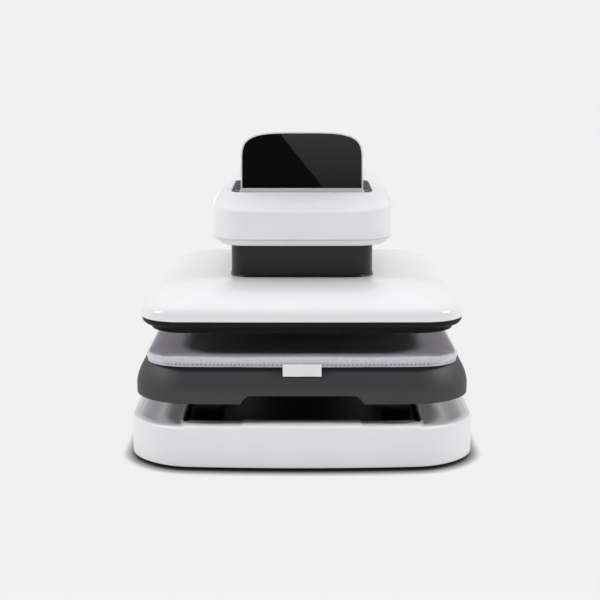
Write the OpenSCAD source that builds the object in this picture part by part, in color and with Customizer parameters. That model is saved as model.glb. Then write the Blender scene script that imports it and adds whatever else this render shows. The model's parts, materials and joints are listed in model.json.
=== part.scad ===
// Flat heat press with a pull-out lower drawer, a power driven upper platen and a folding touch screen.
// Millimetres. The origin is on the table under the middle of the base, +Z is up and the front faces -Y.

/* [Base] */
// Width of the base
base_w = 442; // [430:1:470]
// Depth of the base, front to back
base_d = 535; // [500:1:570]
// Plan radius of the base's corners
base_r = 78; // [60:1:95]
// How far the base's front edge falls back at its two ends
base_bow = 12; // [0:1:16]
// Height of the rubber feet
foot_h = 5; // [4:0.5:12]
// Radius of the rubber feet
foot_r = 16; // [12:1:24]
// Height of the base shell from its lower edge to its rim
shell_h = 51.5; // [48:0.5:66]
// Wall of the moulded shells
wall = 3; // [2:0.25:4]
// Width of the flat rim at the base's front
rim_w = 14; // [12:1:20]
// Width of the flat rim at the base's two sides
rim_side = 9; // [7:0.5:14]
// Depth of the side decks below the rim
deck_drop = 6.5; // [3:0.5:10]
// Thickness of the steel sheet under the base
sheet_t = 2; // [1.5:0.25:4]

/* [Drawer channel] */
// Width of the channel between its two ridges
channel_w = 302; // [296:1:320]
// Thickness of the ridges beside the channel
ridge_t = 3; // [2:0.25:5]
// Height of the ridges above the side decks
ridge_h = 10; // [7:0.5:14]
// Depth of the channel floor below the side decks
pan_drop = 6; // [4:0.5:12]
// Raised width in the middle of the front rim
lip_w = 150; // [100:1:200]

/* [Drawer] */
// Clear height between the base's rim and the drawer tray
under_gap = 30; // [26:0.5:40]
// How far the drawer tray reaches past the press pad at each side
tray_over = 15.5; // [14:0.5:26]
// Height of the drawer tray
tray_h = 46.5; // [44:0.5:60]
// Plan radius of the drawer tray's corners
tray_r = 68; // [60:1:75]
// How far the drawer tray's shoulder draws in towards its top
tray_round_w = 16; // [12:0.5:18]
// Width of the finger notch at its lower edge
notch_w = 153; // [110:1:180]
// Height of the finger notch
notch_h = 11; // [6:0.5:14]
// Travel of the drawer
drawer_travel = 250; // [180:1:252]
// Width of the legs that carry the slides
leg_w = 38; // [34:1:44]
// Length of each leg, front to back
leg_d = 60; // [40:1:80]
// Distance between the middles of the front and the rear legs
leg_pitch = 180; // [160:1:200]
// Distance from the centre plane to the inner side of the legs
leg_x = 104; // [96:1:106]
// Length of the drawer slides
slide_l = 330; // [330:1:350]
// Height of the drawer slides
slide_h = 36; // [34:0.5:36.5]

/* [Platens] */
// Side of the square heat plate
plate_side = 381; // [370:1:384]
// Thickness of the heat plate
plate_t = 11.8; // [10:0.1:16]
// Height of heat plate that shows below the black rim
plate_show = 6.6; // [4:0.1:8]
// Thickness of the press pad
pad_t = 14; // [10:0.5:20]
// How far the press pad reaches past the heat plate at each side
pad_over = 7; // [0:0.5:10]
// Open height between the press pad and the heat plate
press_gap = 28.2; // [20:0.1:34]
// Height left between the press pad and the heat plate when the press is closed
closed_gap = 0.5; // [0.3:0.1:4]

/* [Upper platen cover] */
// How far the cover reaches past the heat plate at each side
cover_over = 12.5; // [11.5:0.5:16]
// Plan radius of the cover's corners
cover_r = 50; // [48:1:64]
// Height of the cover
cover_h = 36.6; // [34:0.1:48]
// Height of the black rim that shows under the cover
dish_h = 9.6; // [6:0.1:9.8]

/* [Neck and head] */
// Width of the neck sleeve
neck_w = 186; // [182:1:190]
// Depth of the neck sleeve
neck_d = 196; // [190:1:200]
// Plan radius of the neck sleeve's corners
neck_r = 28; // [20:1:40]
// Height of neck that shows between the cover and the head
neck_show = 43.3; // [38:0.1:60]
// Width of the head at its front
head_w = 235; // [230:1:250]
// Share of the head's width that is lost towards its back
head_taper = 0.1; // [0:0.01:0.1]
// Height of the head
head_h = 64.2; // [63:0.1:72]
// Fall of the head's top towards its front edge
nose_drop = 18.4; // [8:0.1:19]
// Distance from the head's front to the press axis
head_front = 122; // [118:1:130]
// How far the head reaches past the column at the back
head_over = 6.5; // [5:0.5:9]
// Height of the head's lower shell
seam_h = 9.3; // [7:0.1:14]

/* [Screen] */
// Width of the screen panel
screen_w = 166; // [140:1:168]
// Length of the screen panel from its hinge
screen_l = 83; // [70:0.5:92]
// Thickness of the screen panel
screen_t = 8.6; // [8:0.1:8.8]
// Lean of the open screen above the horizontal, in degrees
screen_tilt = 78; // [60:1:90]
// Width of the well that the screen folds into
well_w = 192; // [190:1:196]
// Length of the well, front to back
well_l = 125; // [112:1:140]

/* [Column] */
// Width of the column covers
column_w = 196; // [190:1:200]
// Depth of the column covers
column_d = 100; // [96:1:102]
// Gap between the upper platen and the column
column_gap = 15.5; // [12:0.5:18]
// Distance from the column's back to the base's back edge
column_behind = 9.5; // [8:0.5:14]
// Plan radius of the column covers' corners
column_r = 40; // [20:1:46]

/* [Drive] */
// Radius of the lead screw's thread
screw_r = 8; // [7:0.25:9]
// Radius of the guide rods
rod_r = 6; // [5:0.25:7]
// Distance of the guide rods from the press axis, sideways
rod_x = 66; // [60:1:68]
// Distance of the guide rods from the press axis, front to back
rod_y = 70; // [64:1:74]
// Height of the drive nut
nut_h = 20; // [16:0.5:20.5]
// Thickness of the steel plate that carries the head
frame_t = 6; // [4:0.5:6.5]

/* [Hidden] */
$fn = 48;

// Finishes
white = "#e6e6e8";
graphite = "#45434a";
black = "#17161a";
steel = "#a8abb0";
bright = "#c9ccd0";
bronze = "#b08d57";
silicone = "#77747b";
board_green = "#1f5b3c";

// Clearances
fit = 0.05;
slip = 0.4;
loose = 2;

// How far a cut runs past the face that it opens, and the height of small screw heads
past = 1;
screw_head_t = 1.6;

// Sizes that follow the heat plate
cover_side = plate_side + 2 * cover_over;
pad_side = plate_side + 2 * pad_over;
tray_w = pad_side + 2 * tray_over;
tray_d = cover_side;

// Heights, from the table up
rim_z = foot_h + shell_h;
deck_z = rim_z - deck_drop;
ridge_z = deck_z + ridge_h;
pan_z = deck_z - pan_drop;
sheet_z = foot_h + sheet_t;
lip_h = 1.5;
middle_h = 2;
tray_z = rim_z + under_gap;
tray_top = tray_z + tray_h;
pad_top = tray_top + pad_t;
plate_z = pad_top + press_gap;
plate_top = plate_z + plate_t;
dish_z = plate_z + plate_show;
cover_z = dish_z + dish_h;
cover_top = cover_z + cover_h;
travel = press_gap - closed_gap;
head_z = cover_top + neck_show;
sleeve_in = 5;
sleeve_top = head_z + travel + sleeve_in;
seam_z = head_z + seam_h;
frame_z = sleeve_top + loose;
frame_top = frame_z + frame_t;
head_top = head_z + head_h;

// Places, front to back
channel_inset = 12;
channel_behind = 8;
channel_front = -base_d / 2 + rim_w + channel_inset;
back_y = base_d / 2 - column_behind;
column_front = back_y - column_d;
column_y = column_front + column_d / 2;
press_y = column_front - column_gap - cover_side / 2;
channel_back = column_front - channel_behind;
channel_d = channel_back - channel_front;
channel_y = (channel_back + channel_front) / 2;
head_back_y = back_y + head_over;
head_d = head_back_y - press_y + head_front;
head_y = head_back_y - head_d / 2;

// Rounded rectangles as points, anticlockwise from above, with extra points along the front and the sides
arc_n = 7;
function arc(c, r, start) = [for (i = [0:arc_n]) let (a = start + 90 * i / arc_n) c + r * [cos(a), sin(a)]];
function both_sides(list) = concat([for (i = [len(list) - 1:-1:0]) -list[i]], [0], list);
function outline(w, d, r, bow = 0, front = [], sides = []) =
    let (x = w / 2 - r, y = d / 2 - r,
         raw = concat(arc([x, y], r, 0), arc([-x, y], r, 90),
                      [for (i = [len(sides) - 1:-1:0]) [-w / 2, sides[i]]],
                      arc([-x, -y], r, 180), [for (s = front) [s, -d / 2]], arc([x, -y], r, 270),
                      [for (s = sides) [w / 2, s]]))
    [for (p = raw) p.y < -y ? [p.x, p.y + bow * pow(2 * p.x / w, 2) * (-y - p.y) / r] : p];
function at(points, y, z) = [for (p = points) [p.x, p.y + y, z]];
function blend(a, b, t) = a + (b - a) * t;
// Share of a round edge's radius by which its middle point stays inside the corner
edge_mid = 1 - sqrt(0.5);

// A closed skin over a stack of rings: open stacks get flat caps, closed ones join last to first
module skin(rings, closed = false) {
    n = len(rings[0]);
    m = len(rings);
    sides = [for (i = [0:closed ? m - 1 : m - 2], j = [0:n - 1])
        let (k = (j + 1) % n, a = i * n, b = (i + 1) % m * n)
        each [[a + j, b + j, b + k], [a + j, b + k, a + k]]];
    caps = closed ? [] : [[for (j = [0:n - 1]) j], [for (j = [n - 1:-1:0]) (m - 1) * n + j]];
    polyhedron([for (r = rings) each r], concat(sides, caps));
}

module rounded(w, d, r) {
    square([w - 2 * r, d], center = true);
    square([w, d - 2 * r], center = true);
    for (x = [-1, 1], y = [-1, 1]) translate([x * (w / 2 - r), y * (d / 2 - r)]) circle(r);
}
module slab(w, d, r, z, t, y = 0) translate([0, y, z]) linear_extrude(t) rounded(w, d, r);
module block(x, y, z) translate([x[0], y[0], z[0]]) cube([x[1] - x[0], y[1] - y[0], z[1] - z[0]]);
module rod(r, z, x = 0, y = 0) translate([x, y, z[0]]) cylinder(r = r, h = z[1] - z[0]);
module both() {
    children();
    mirror([1, 0, 0]) children();
}
module four(x, y, cy = 0) for (sx = [-1, 1], sy = [-1, 1]) translate([sx * x, cy + sy * y, 0]) children();

// Base

lip_slope = 5;
shell_edge = 3;
step_w = 0.8;
front_zone = channel_front + rim_w;
front_points = both_sides([lip_w / 2 - lip_slope, lip_w / 2, lip_w / 2 + 6 * lip_slope]);
side_points = [channel_y, channel_back - 2 * ridge_t, channel_back];
function lip(p) = abs(p.x) < lip_w / 2 - lip_slope / 5 ? lip_h : 0;
function in_front(p) = p.y < front_zone && abs(p.x) < channel_w / 2;
function level(p) = rim_z + (in_front(p) ? middle_h + lip(p) : 0);
function filled(p) = p.y > channel_back - ridge_t || in_front(p);
function bow_of(w) = base_bow * pow(w / base_w, 2);
function base_ring(inset) = let (w = base_w - 2 * inset)
    outline(w, base_d - 2 * inset, base_r - inset, bow_of(w), front_points, side_points);
function deck_ring(inset) = let (w = base_w - 2 * (rim_side + inset))
    outline(w, base_d - 2 * (rim_w + inset), base_r - rim_w - inset, bow_of(w), front_points, side_points);
channel_r = 8;
function channel_ring(grow) = let (w = channel_w + 2 * grow, end = channel_d / 2 - channel_r)
    [for (p = outline(w, channel_d + 2 * grow, channel_r + grow, bow_of(w), front_points,
                      [0, end - channel_r, end - ridge_t]))
     [p.x, p.y + channel_y]];

column_lip = 8;
column_hole_w = column_w - 2 * column_lip;
column_hole_d = column_d - 2 * column_lip;
column_hole_r = column_r / 2;

module base_shell() color(white) difference() {
    skin([
        at(base_ring(wall), 0, foot_h),
        at(base_ring(shell_edge / 2), 0, foot_h),
        at(base_ring(0), 0, foot_h + shell_edge),
        [for (p = base_ring(0)) [p.x, p.y, level(p) - shell_edge]],
        [for (p = base_ring(edge_mid * shell_edge)) [p.x, p.y, level(p) - edge_mid * shell_edge]],
        [for (p = base_ring(shell_edge)) [p.x, p.y, level(p)]],
        [for (p = deck_ring(0)) [p.x, p.y, level(p)]],
        [for (p = deck_ring(step_w)) [p.x, p.y, filled(p) ? level(p) : deck_z]],
        [for (p = channel_ring(ridge_t + step_w)) [p.x, p.y, filled(p) ? level(p) : deck_z]],
        [for (p = channel_ring(ridge_t)) [p.x, p.y, filled(p) ? level(p) : ridge_z]],
        [for (p = channel_ring(0)) [p.x, p.y, filled(p) ? level(p) : ridge_z]],
        at(channel_ring(0), 0, deck_z - wall),
        at(base_ring(rim_w), 0, deck_z - wall),
        at(base_ring(wall), 0, deck_z - wall - rim_w / 2)
    ], closed = true);
    slab(column_hole_w, column_hole_d, column_hole_r, deck_z - 2 * rim_w, 3 * rim_w, column_y);
}

module base_plate() color(steel) difference() {
    translate([0, 0, foot_h]) linear_extrude(sheet_t) polygon(base_ring(wall + slip));
    four(foot_x, foot_y) rod(foot_screw_r, [0, rim_z]);
    four(column_bolt_x, column_bolt_y, column_y) rod(bolt_r, [0, rim_z]);
}

pan_t = 2;
pan_post_r = 6;
pan_post_x = leg_x - 2.5 * pan_post_r;

module channel_pan() color(black) difference() {
    union() {
        translate([0, 0, pan_z - pan_t]) linear_extrude(ridge_z - pan_z) polygon(channel_ring(-slip));
        four(pan_post_x, leg_pitch / 2, press_y) rod(pan_post_r, [sheet_z, pan_z]);
    }
    translate([0, 0, pan_z]) linear_extrude(ridge_h * 4) polygon(channel_ring(-slip - pan_t));
    for (y = leg_places) both()
        block([leg_x - slip, leg_x + leg_w + slip], [y - leg_d / 2 - slip, y + leg_d / 2 + slip],
              [pan_z - 2 * pan_t, pan_z + pan_t]);
}

foot_inset = 61.5;
foot_x = base_w / 2 - foot_inset;
foot_y = base_d / 2 - foot_inset;
foot_screw_r = 2.5;
foot_head_r = 5;

module rubber_feet() color(black) four(foot_x, foot_y) difference() {
    rod(foot_r, [0, foot_h]);
    rod(foot_head_r + slip, [-past, foot_h / 2]);
    rod(foot_screw_r, [0, foot_h + past]);
}

module foot_screws() color(bright) four(foot_x, foot_y) {
    rod(foot_head_r, [foot_h / 2 - screw_head_t, foot_h / 2]);
    rod(foot_screw_r, [foot_h / 2, sheet_z + foot_head_r]);
}

// Drawer slides: the fixed rail opens outwards, and the moving rail runs in it on balls

leg_places = [press_y - leg_pitch / 2, press_y + leg_pitch / 2];
leg_gap = 0.5;
leg_top = tray_z - leg_gap;
leg_wall = 4;
tab_t = 4;
tab_drop = 6;
rail_t = 2;
rail_depth = 14;
ball_r = 2;
ball_gap = 0.1;
rail_x = leg_x + tab_t;
rail_z = leg_top;
rail_top = rail_z + slide_h;
runner_gap = 3;
runner_x = rail_x + rail_t + runner_gap;
runner_t = 6;
runner_z = rail_z + rail_t + 2 * ball_r + ball_gap;
runner_top = rail_top - rail_t - 2 * ball_r - ball_gap;
ball_x = runner_x + runner_t / 2;
rail_screw_r = 1.8;
rail_head_r = 3.2;
rail_head_t = 1.4;
rail_screw_z = rail_z + slide_h / 2;
rail_ends = [press_y - slide_l / 2, press_y + slide_l / 2];
overlap = slide_l - drawer_travel;
cage_end = 2;
cage_t = 1.2;
cage_l = overlap - 2 * cage_end;

module along_slide(length) translate([0, press_y + length / 2, 0]) rotate([90, 0, 0]) linear_extrude(length)
    children();

module rail_legs() color(black) both() for (y = leg_places) difference() {
    union() {
        block([leg_x, leg_x + leg_w], [y - leg_d / 2, y + leg_d / 2], [sheet_z, leg_top]);
        block([leg_x, leg_x + tab_t], [y - leg_d / 2, y + leg_d / 2], [leg_top - past, rail_top - tab_drop]);
    }
    block([leg_x + leg_wall, leg_x + leg_w - leg_wall],
          [y - leg_d / 2 + leg_wall, y + leg_d / 2 - leg_wall], [sheet_z - past, leg_top - leg_wall]);
    rail_hole(y);
}

module rail_hole(y) for (s = [-1, 1]) translate([leg_x - past, y + s * leg_d / 4, rail_screw_z])
    rotate([0, 90, 0]) cylinder(r = rail_screw_r, h = tab_t + rail_t + 2 * past);

module slide_outer_rails() color(bright) both() difference() {
    along_slide(slide_l) polygon([
        [rail_x, rail_z], [rail_x + rail_depth, rail_z], [rail_x + rail_depth, rail_z + rail_t],
        [rail_x + rail_t, rail_z + rail_t], [rail_x + rail_t, rail_top - rail_t],
        [rail_x + rail_depth, rail_top - rail_t], [rail_x + rail_depth, rail_top], [rail_x, rail_top]]);
    for (y = leg_places) rail_hole(y);
}

module rail_screws() color(steel) both() for (y = leg_places, s = [-1, 1])
    translate([leg_x - rail_head_r, y + s * leg_d / 4, rail_screw_z]) rotate([0, 90, 0]) {
        cylinder(r = rail_screw_r, h = rail_head_r + tab_t + rail_t);
        translate([0, 0, rail_head_r + tab_t + rail_t]) cylinder(r = rail_head_r, h = rail_head_t);
    }

module slide_inner_rails() color(bright) both() along_slide(slide_l)
    polygon([[runner_x, runner_z], [runner_x + runner_t, runner_z],
             [runner_x + runner_t, runner_top], [runner_x, runner_top]]);

ball_levels = [rail_z + rail_t + ball_r + ball_gap / 2, rail_top - rail_t - ball_r - ball_gap / 2];
ball_pitch = 12;
ball_count = floor((cage_l - 2 * cage_end) / ball_pitch);
ball_places = [for (i = [0:ball_count - 1]) press_y + (i - (ball_count - 1) / 2) * ball_pitch];

module ball_cages() color(steel) both() for (z = ball_levels) difference() {
    block([ball_x - runner_t / 2, ball_x + runner_t / 2], [press_y - cage_l / 2, press_y + cage_l / 2],
          [z - cage_t / 2, z + cage_t / 2]);
    for (y = ball_places) rod(ball_r + fit, [z - cage_t, z + cage_t], ball_x, y);
}

module bearing_balls() color(bright) both() for (z = ball_levels, y = ball_places)
    translate([ball_x, y, z]) sphere(ball_r);

// Drawer

platen_t = 5;
beam_top = tray_top - platen_t;
platen_inset = 24;
well_side = pad_side - 2 * platen_inset;
well_corner_r = 40;
notch_slope = 10;
tray_bow = 8;
tray_foot_r = 1.2;
tray_round_h = tray_h - notch_h - 2 * tray_foot_r;
round_power = 1.5;
round_steps = [0, 0.25, 0.45, 0.65, 0.82, 0.95, 1];
round_back = [1, 0.82, 0.5, 0.2];
cutout_over = 12;

beam_t = 3;
tray_bolt_r = 2.5;
tray_bolt_x = rail_x + rail_depth / 2;
tray_bolt_inset = 25;
tray_bolt_y = slide_l / 2 - tray_bolt_inset;
tray_bolt_z = [beam_top - beam_t, beam_top + beam_t];
beam_grip = 4;
beam_web = 5;

module drawer_beams() color(steel) difference() {
    both() along_slide(slide_l) polygon([
        [runner_x + runner_t, runner_z + beam_grip], [rail_x + rail_depth + beam_web, runner_z + beam_grip],
        [rail_x + rail_depth + beam_web, beam_top], [rail_x, beam_top], [rail_x, beam_top - beam_t],
        [rail_x + rail_depth + past, beam_top - beam_t],
        [rail_x + rail_depth + past, runner_top - beam_grip],
        [runner_x + runner_t, runner_top - beam_grip]]);
    four(tray_bolt_x, tray_bolt_y, press_y) rod(tray_bolt_r, [tray_bolt_z[0] - past, beam_top + past]);
}

notch_points = both_sides([notch_w / 6, notch_w / 2 - notch_slope, notch_w / 2 - notch_slope * 0.7,
                           notch_w / 2 - notch_slope * 0.3, notch_w / 2, notch_w / 2 + 2 * notch_slope]);
function notch(p) = p.y > 0 ? 0 :
    notch_h * pow(max(0, min(1, (notch_w / 2 - abs(p.x)) / notch_slope)), 0.6);
function tray_ring(inset) =
    outline(tray_w - 2 * inset, tray_d - 2 * inset, tray_r - inset, tray_bow, notch_points);
function tray_low(inset, z) = [for (p = tray_ring(inset)) [p.x, p.y + press_y, z + notch(p)]];
// The tray's shoulder from its foot, at 0, to its top, at 1: how far it draws in, and its outer or inner ring
function draw_in(s) = tray_round_w * (1 - pow(1 - pow(s, round_power), 1 / round_power));
function tray_edge(s, inset) =
    at(tray_ring(inset + draw_in(s)), press_y, tray_top - inset - tray_round_h * (1 - s));
function opening_ring(side) = outline(side, side, well_corner_r, 0, notch_points);

module drawer_tray() color(graphite) difference() {
    skin(concat(
        [tray_low(wall, tray_z), tray_low(tray_foot_r, tray_z), tray_low(0, tray_z + tray_foot_r)],
        [for (s = round_steps) tray_edge(s, 0)],
        [for (z = [tray_top, tray_top - wall]) at(opening_ring(well_side), press_y, z)],
        [for (s = round_back) tray_edge(s, wall)]), closed = true);
    both() block([leg_x - cutout_over, leg_x + leg_w + cutout_over], [press_y + tray_d / 4, press_y + tray_d],
                 [tray_z - past, beam_top]);
}

module lower_platen() color(steel) difference() {
    slab(well_side - 2 * slip, well_side - 2 * slip, well_corner_r - slip, beam_top, platen_t, press_y);
    four(tray_bolt_x, tray_bolt_y, press_y) rod(tray_bolt_r, [beam_top - past, tray_bolt_z[1]]);
}

module tray_screws() color(steel) four(tray_bolt_x, tray_bolt_y, press_y) {
    rod(tray_bolt_r, tray_bolt_z);
    rod(tray_bolt_r * 1.7, [tray_bolt_z[0] - screw_head_t, tray_bolt_z[0]]);
}

pad_bow = 5;
pad_r = 46;
pad_min_r = 12;
function pad_ring(inset, z) =
    at(outline(pad_side - 2 * inset, pad_side - 2 * inset, max(pad_min_r, pad_r - inset / 2), pad_bow,
               both_sides([pad_side / 12, pad_side / 4])), press_y, tray_top + z);

// Insets as shares of the pad's side, each with its height as a share of the pad's thickness
pad_edge = [[0.008, 0], [0.0015, 0.25], [0, 0.45], [0.0023, 0.68], [0.009, 0.82]];
pad_crown = [[0.02, 0.9], [0.062, 0.95], [0.155, 0.985], [0.28, 1]];

module press_pad() color(silicone)
    skin([for (s = concat(pad_edge, pad_crown)) pad_ring(s[0] * pad_side, s[1] * pad_t)]);

// The tab is sewn under the pad's front edge and hangs clear of the tray's shoulder
tag_w = 48;
tag_t = 0.6;
tag_rise = 2;
tag_drop = 11.4;
tag_in = 7;
tag_reach = max(pad_side / 2, tray_d / 2 - draw_in(1 - tag_drop / tray_round_h));
tag_y = press_y - tag_reach - slip;
tag_z = tray_top - slip;

module pad_tag() color("white") {
    block([-tag_w / 2, tag_w / 2], [tag_y - tag_t, tag_y], [tray_top - tag_drop, tray_top + tag_rise]);
    block([-tag_w / 2, tag_w / 2], [tag_y - tag_t / 2, tag_y + tag_in], [tag_z - tag_t, tag_z]);
}

// Upper platen

cover_bow = 2;
function cover_ring(t, z, inset = 0) =
    at(outline(blend(cover_side, neck_w, t) - 2 * inset, blend(cover_side, neck_d, t) - 2 * inset,
               blend(cover_r, neck_r, sqrt(t)) - inset, blend(cover_bow, 0, t),
               both_sides([neck_w / 9, neck_w / 3])), press_y, z);
cover_power = 2.2;
function cover_rise(t) = pow(1 - pow(1 - t, cover_power), 1 / cover_power);
cover_band = 4;
function cover_level(t) = cover_z + cover_band + (cover_h - cover_band) * cover_rise(t);
cover_steps = [0, 0.005, 0.02, 0.05, 0.1, 0.19, 0.32, 0.5, 0.75, 1];
hole_inset = wall + loose;

module platen_cover() color(white) skin(concat(
    [cover_ring(0, cover_z)],
    [for (t = cover_steps) cover_ring(t, cover_level(t))],
    [cover_ring(1, cover_top, hole_inset), cover_ring(1, cover_top - wall, hole_inset)],
    [for (i = [len(cover_steps) - 2:-2:0]) let (t = cover_steps[i])
     cover_ring(t, cover_level(t) - wall / 2, wall)],
    [cover_ring(0, cover_z, wall)]), closed = true);

plate_r = 46;
dish_in = 1;
function dish_ring(inset, z) =
    at(outline(cover_side - 2 * inset, cover_side - 2 * inset, cover_r - inset, dish_in), press_y, z);
function bore_ring(z) =
    at(outline(plate_side + 2 * slip, plate_side + 2 * slip, plate_r + slip), press_y, z);

dish_top = plate_top - 2 * dish_in;

module platen_rim() color(black) skin([
    bore_ring(dish_top),
    bore_ring(dish_z),
    dish_ring(9 * dish_in, dish_z),
    dish_ring(4 * dish_in, dish_z + dish_h * 0.2),
    dish_ring(1.5 * dish_in, dish_z + dish_h * 0.6),
    dish_ring(dish_in, cover_z),
    dish_ring(wall + dish_in, cover_z),
    dish_ring(wall + dish_in, dish_top)
], closed = true);

module heat_plate() color(steel) difference() {
    slab(plate_side, plate_side, plate_r, plate_z, plate_t, press_y);
    four(post_x, post_y, press_y) rod(platen_screw_r + fit, [plate_top - screw_depth, plate_top + past]);
}

loop_side = 300;
loop_r = 40;
tube_r = 4;

module heating_element() color(bright) translate([0, press_y, plate_top + tube_r]) {
    for (a = [0, 90, 180]) rotate([0, 0, a]) {
        translate([loop_side / 2, -(loop_side / 2 - loop_r), 0]) rotate([-90, 0, 0])
            cylinder(r = tube_r, h = loop_side - 2 * loop_r);
        translate([loop_side / 2 - loop_r, loop_side / 2 - loop_r, 0])
            rotate_extrude(angle = 90) translate([loop_r, 0]) circle(tube_r);
    }
}

insulation_z = plate_top + 2 * tube_r + slip / 2;
insulation_t = 5;
insulation_in = 10;
insulation_r = 24;
post_x = 40;
post_y = 54;
post_r = 7;
platen_screw_r = 3;
screw_depth = 6;
ram_drop = 4;
ram_z = cover_top - ram_drop;
ram_t = 8;
ram_r = 20;
ram_w = neck_w - 2 * hole_inset - loose;
ram_d = neck_d - 2 * hole_inset - loose;

module insulation_board() color("ivory") difference() {
    slab(plate_side - 2 * insulation_in, plate_side - 2 * insulation_in, insulation_r, insulation_z,
         insulation_t, press_y);
    four(post_x, post_y, press_y) rod(post_r + slip, [plate_top, ram_z]);
}

module platen_posts() color(steel) four(post_x, post_y, press_y) difference() {
    rod(post_r, [plate_top, ram_z]);
    rod(platen_screw_r + fit, [plate_top - past, ram_z + past]);
}

module ram_plate() color(steel) difference() {
    slab(ram_w, ram_d, ram_r, ram_z, ram_t, press_y);
    four(post_x, post_y, press_y) rod(platen_screw_r + fit, ram_cut);
    four(rod_x, rod_y, press_y) rod(bush_r + fit, ram_cut);
    rod(screw_r + loose, ram_cut, 0, press_y);
}

ram_cut = [ram_z - past, ram_z + ram_t + past];
bush_wall = 4;
bush_r = rod_r + bush_wall;
bush_h = 24;
bush_flange = 3;

module guide_bushings() color(bronze) four(rod_x, rod_y, press_y) difference() {
    union() {
        rod(bush_r, [ram_z - bush_wall, ram_z - bush_wall + bush_h]);
        rod(bush_r + bush_flange, [ram_z + ram_t, ram_z + ram_t + bush_flange]);
    }
    rod(rod_r + fit, [ram_z - bush_wall - past, ram_z + bush_h]);
}

nut_z = ram_z + ram_t;
nut_r = 18;
nut_flange_r = 26;
nut_flange_t = 6;

module drive_nut() color(bronze) difference() {
    union() {
        rod(nut_flange_r, [nut_z, nut_z + nut_flange_t], 0, press_y);
        rod(nut_r, [nut_z, nut_z + nut_h], 0, press_y);
    }
    rod(screw_r + fit, [nut_z - past, nut_z + nut_h + past], 0, press_y);
}

module platen_screws() color(steel) four(post_x, post_y, press_y) {
    rod(platen_screw_r, [plate_top - screw_depth, nut_z]);
    rod(platen_screw_r * 1.7, [nut_z, nut_z + platen_screw_r]);
}

sensor_y = 90;
probe_r = 3;
cutout_r = 8;
cutout_h = 5;
cutout_strap_t = 1;

module temperature_probe() color(bright) translate([0, press_y + sensor_y, 0]) {
    rod(probe_r, [plate_top, plate_top + 2 * probe_r]);
    translate([0, 0, plate_top]) cylinder(r = 2 * probe_r, h = probe_r, $fn = 6);
}

module thermal_cutout() color(bright) translate([0, press_y - sensor_y, 0]) {
    rod(cutout_r, [plate_top, plate_top + cutout_h]);
    slab(3 * cutout_r, cutout_r, cutout_r / 4, plate_top, cutout_strap_t);
}

flare = 1.5;
flare_h = 2.5;

module neck_sleeve() color(graphite) difference() {
    union() {
        slab(neck_w, neck_d, neck_r, cover_top, sleeve_top - cover_top, press_y);
        slab(neck_w + 2 * flare, neck_d + 2 * flare, neck_r + flare, cover_top, flare_h, press_y);
    }
    slab(neck_w - 2 * wall, neck_d - 2 * wall, neck_r - wall, cover_top - past, 2 * head_h, press_y);
}

// Drive

gearbox_side = 70;
gearbox_h = 42;
gearbox_r = 6;
gearbox_z = frame_z - gearbox_h;
shaft_end = 6;
bearing_h = 6;
bearing_r = 14;
shaft_step = 2;
shaft_r = screw_r - shaft_step;
ring_t = 1.5;
screw_z = insulation_z + insulation_t + ring_t;
motor_r = 18;
motor_l = 54;
motor_z = frame_z - gearbox_h / 2;
motor_boss_r = 6;
motor_boss_h = 4;

module gearbox_housing() color("#3a3d42") difference() {
    slab(gearbox_side, gearbox_side, gearbox_r, gearbox_z, gearbox_h, press_y);
    rod(shaft_r + fit, [gearbox_z - past, frame_z - shaft_end], 0, press_y);
}

module drive_motor() color("#2a2c30") translate([0, press_y + gearbox_side / 2, motor_z]) rotate([-90, 0, 0]) {
    cylinder(r = motor_r, h = motor_l);
    translate([0, 0, motor_l]) cylinder(r = motor_boss_r, h = motor_boss_h);
}

module thrust_bearing() color(bright) difference() {
    rod(bearing_r, [gearbox_z - bearing_h, gearbox_z], 0, press_y);
    rod(shaft_r + fit, [gearbox_z - bearing_h - past, gearbox_z + past], 0, press_y);
}

module lead_screw() color(bright) {
    rod(screw_r, [screw_z, gearbox_z - bearing_h - slip], 0, press_y);
    rod(shaft_r, [screw_z, frame_z - shaft_end - past], 0, press_y);
}

module screw_stop_ring() color(steel) difference() {
    rod(screw_r + ring_t, [screw_z, screw_z + ring_t], 0, press_y);
    rod(screw_r, [screw_z - past, screw_z + ring_t + past], 0, press_y);
}

module guide_rods() color(bright) four(rod_x, rod_y, press_y) rod(rod_r, [screw_z, frame_top]);

limit_x = 48;
limit_w = 20;
limit_d = 10;
limit_h = 8;

module limit_switch() color(black)
    block([-limit_x - limit_w, -limit_x], [press_y - limit_d, press_y], [frame_z - limit_h, frame_z]);

// Column and head

frame_half_w = 80;
frame_inset = 20;
frame_y = [column_front + frame_inset, back_y - 2 * column_lip];
frame_wall = 4;
frame_end = 6;
bolt_head_h = 4;
bolt_r = 4;
column_bolt_x = 50;
column_bolt_y = 10;

module column_frame() color(steel) difference() {
    block([-frame_half_w, frame_half_w], frame_y, [sheet_z, frame_z]);
    block([-frame_half_w + frame_wall, frame_half_w - frame_wall], [frame_y[0] + frame_wall, frame_y[1] + past],
          [sheet_z + frame_end, frame_z - frame_end]);
    four(column_bolt_x, column_bolt_y, column_y) {
        rod(bolt_r, [0, sheet_z + frame_end + past]);
        rod(bolt_r, [frame_z - frame_end - past, frame_z + past]);
    }
}

module frame_bolts() color(bright) four(column_bolt_x, column_bolt_y, column_y) {
    rod(bolt_r, [foot_h, sheet_z + frame_end]);
    rod(bolt_r * 1.7, [sheet_z + frame_end, sheet_z + frame_end + bolt_head_h]);
    rod(bolt_r, [frame_z - frame_end, frame_top]);
    rod(bolt_r * 1.7, [frame_top, frame_top + bolt_head_h]);
}

module column_tube() difference() {
    slab(column_w, column_d, column_r, rim_z, head_z - rim_z, column_y);
    slab(column_w - 2 * wall, column_d - 2 * wall, column_r - wall, rim_z - past, head_z, column_y);
}

column_seam = 0.3;

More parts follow.
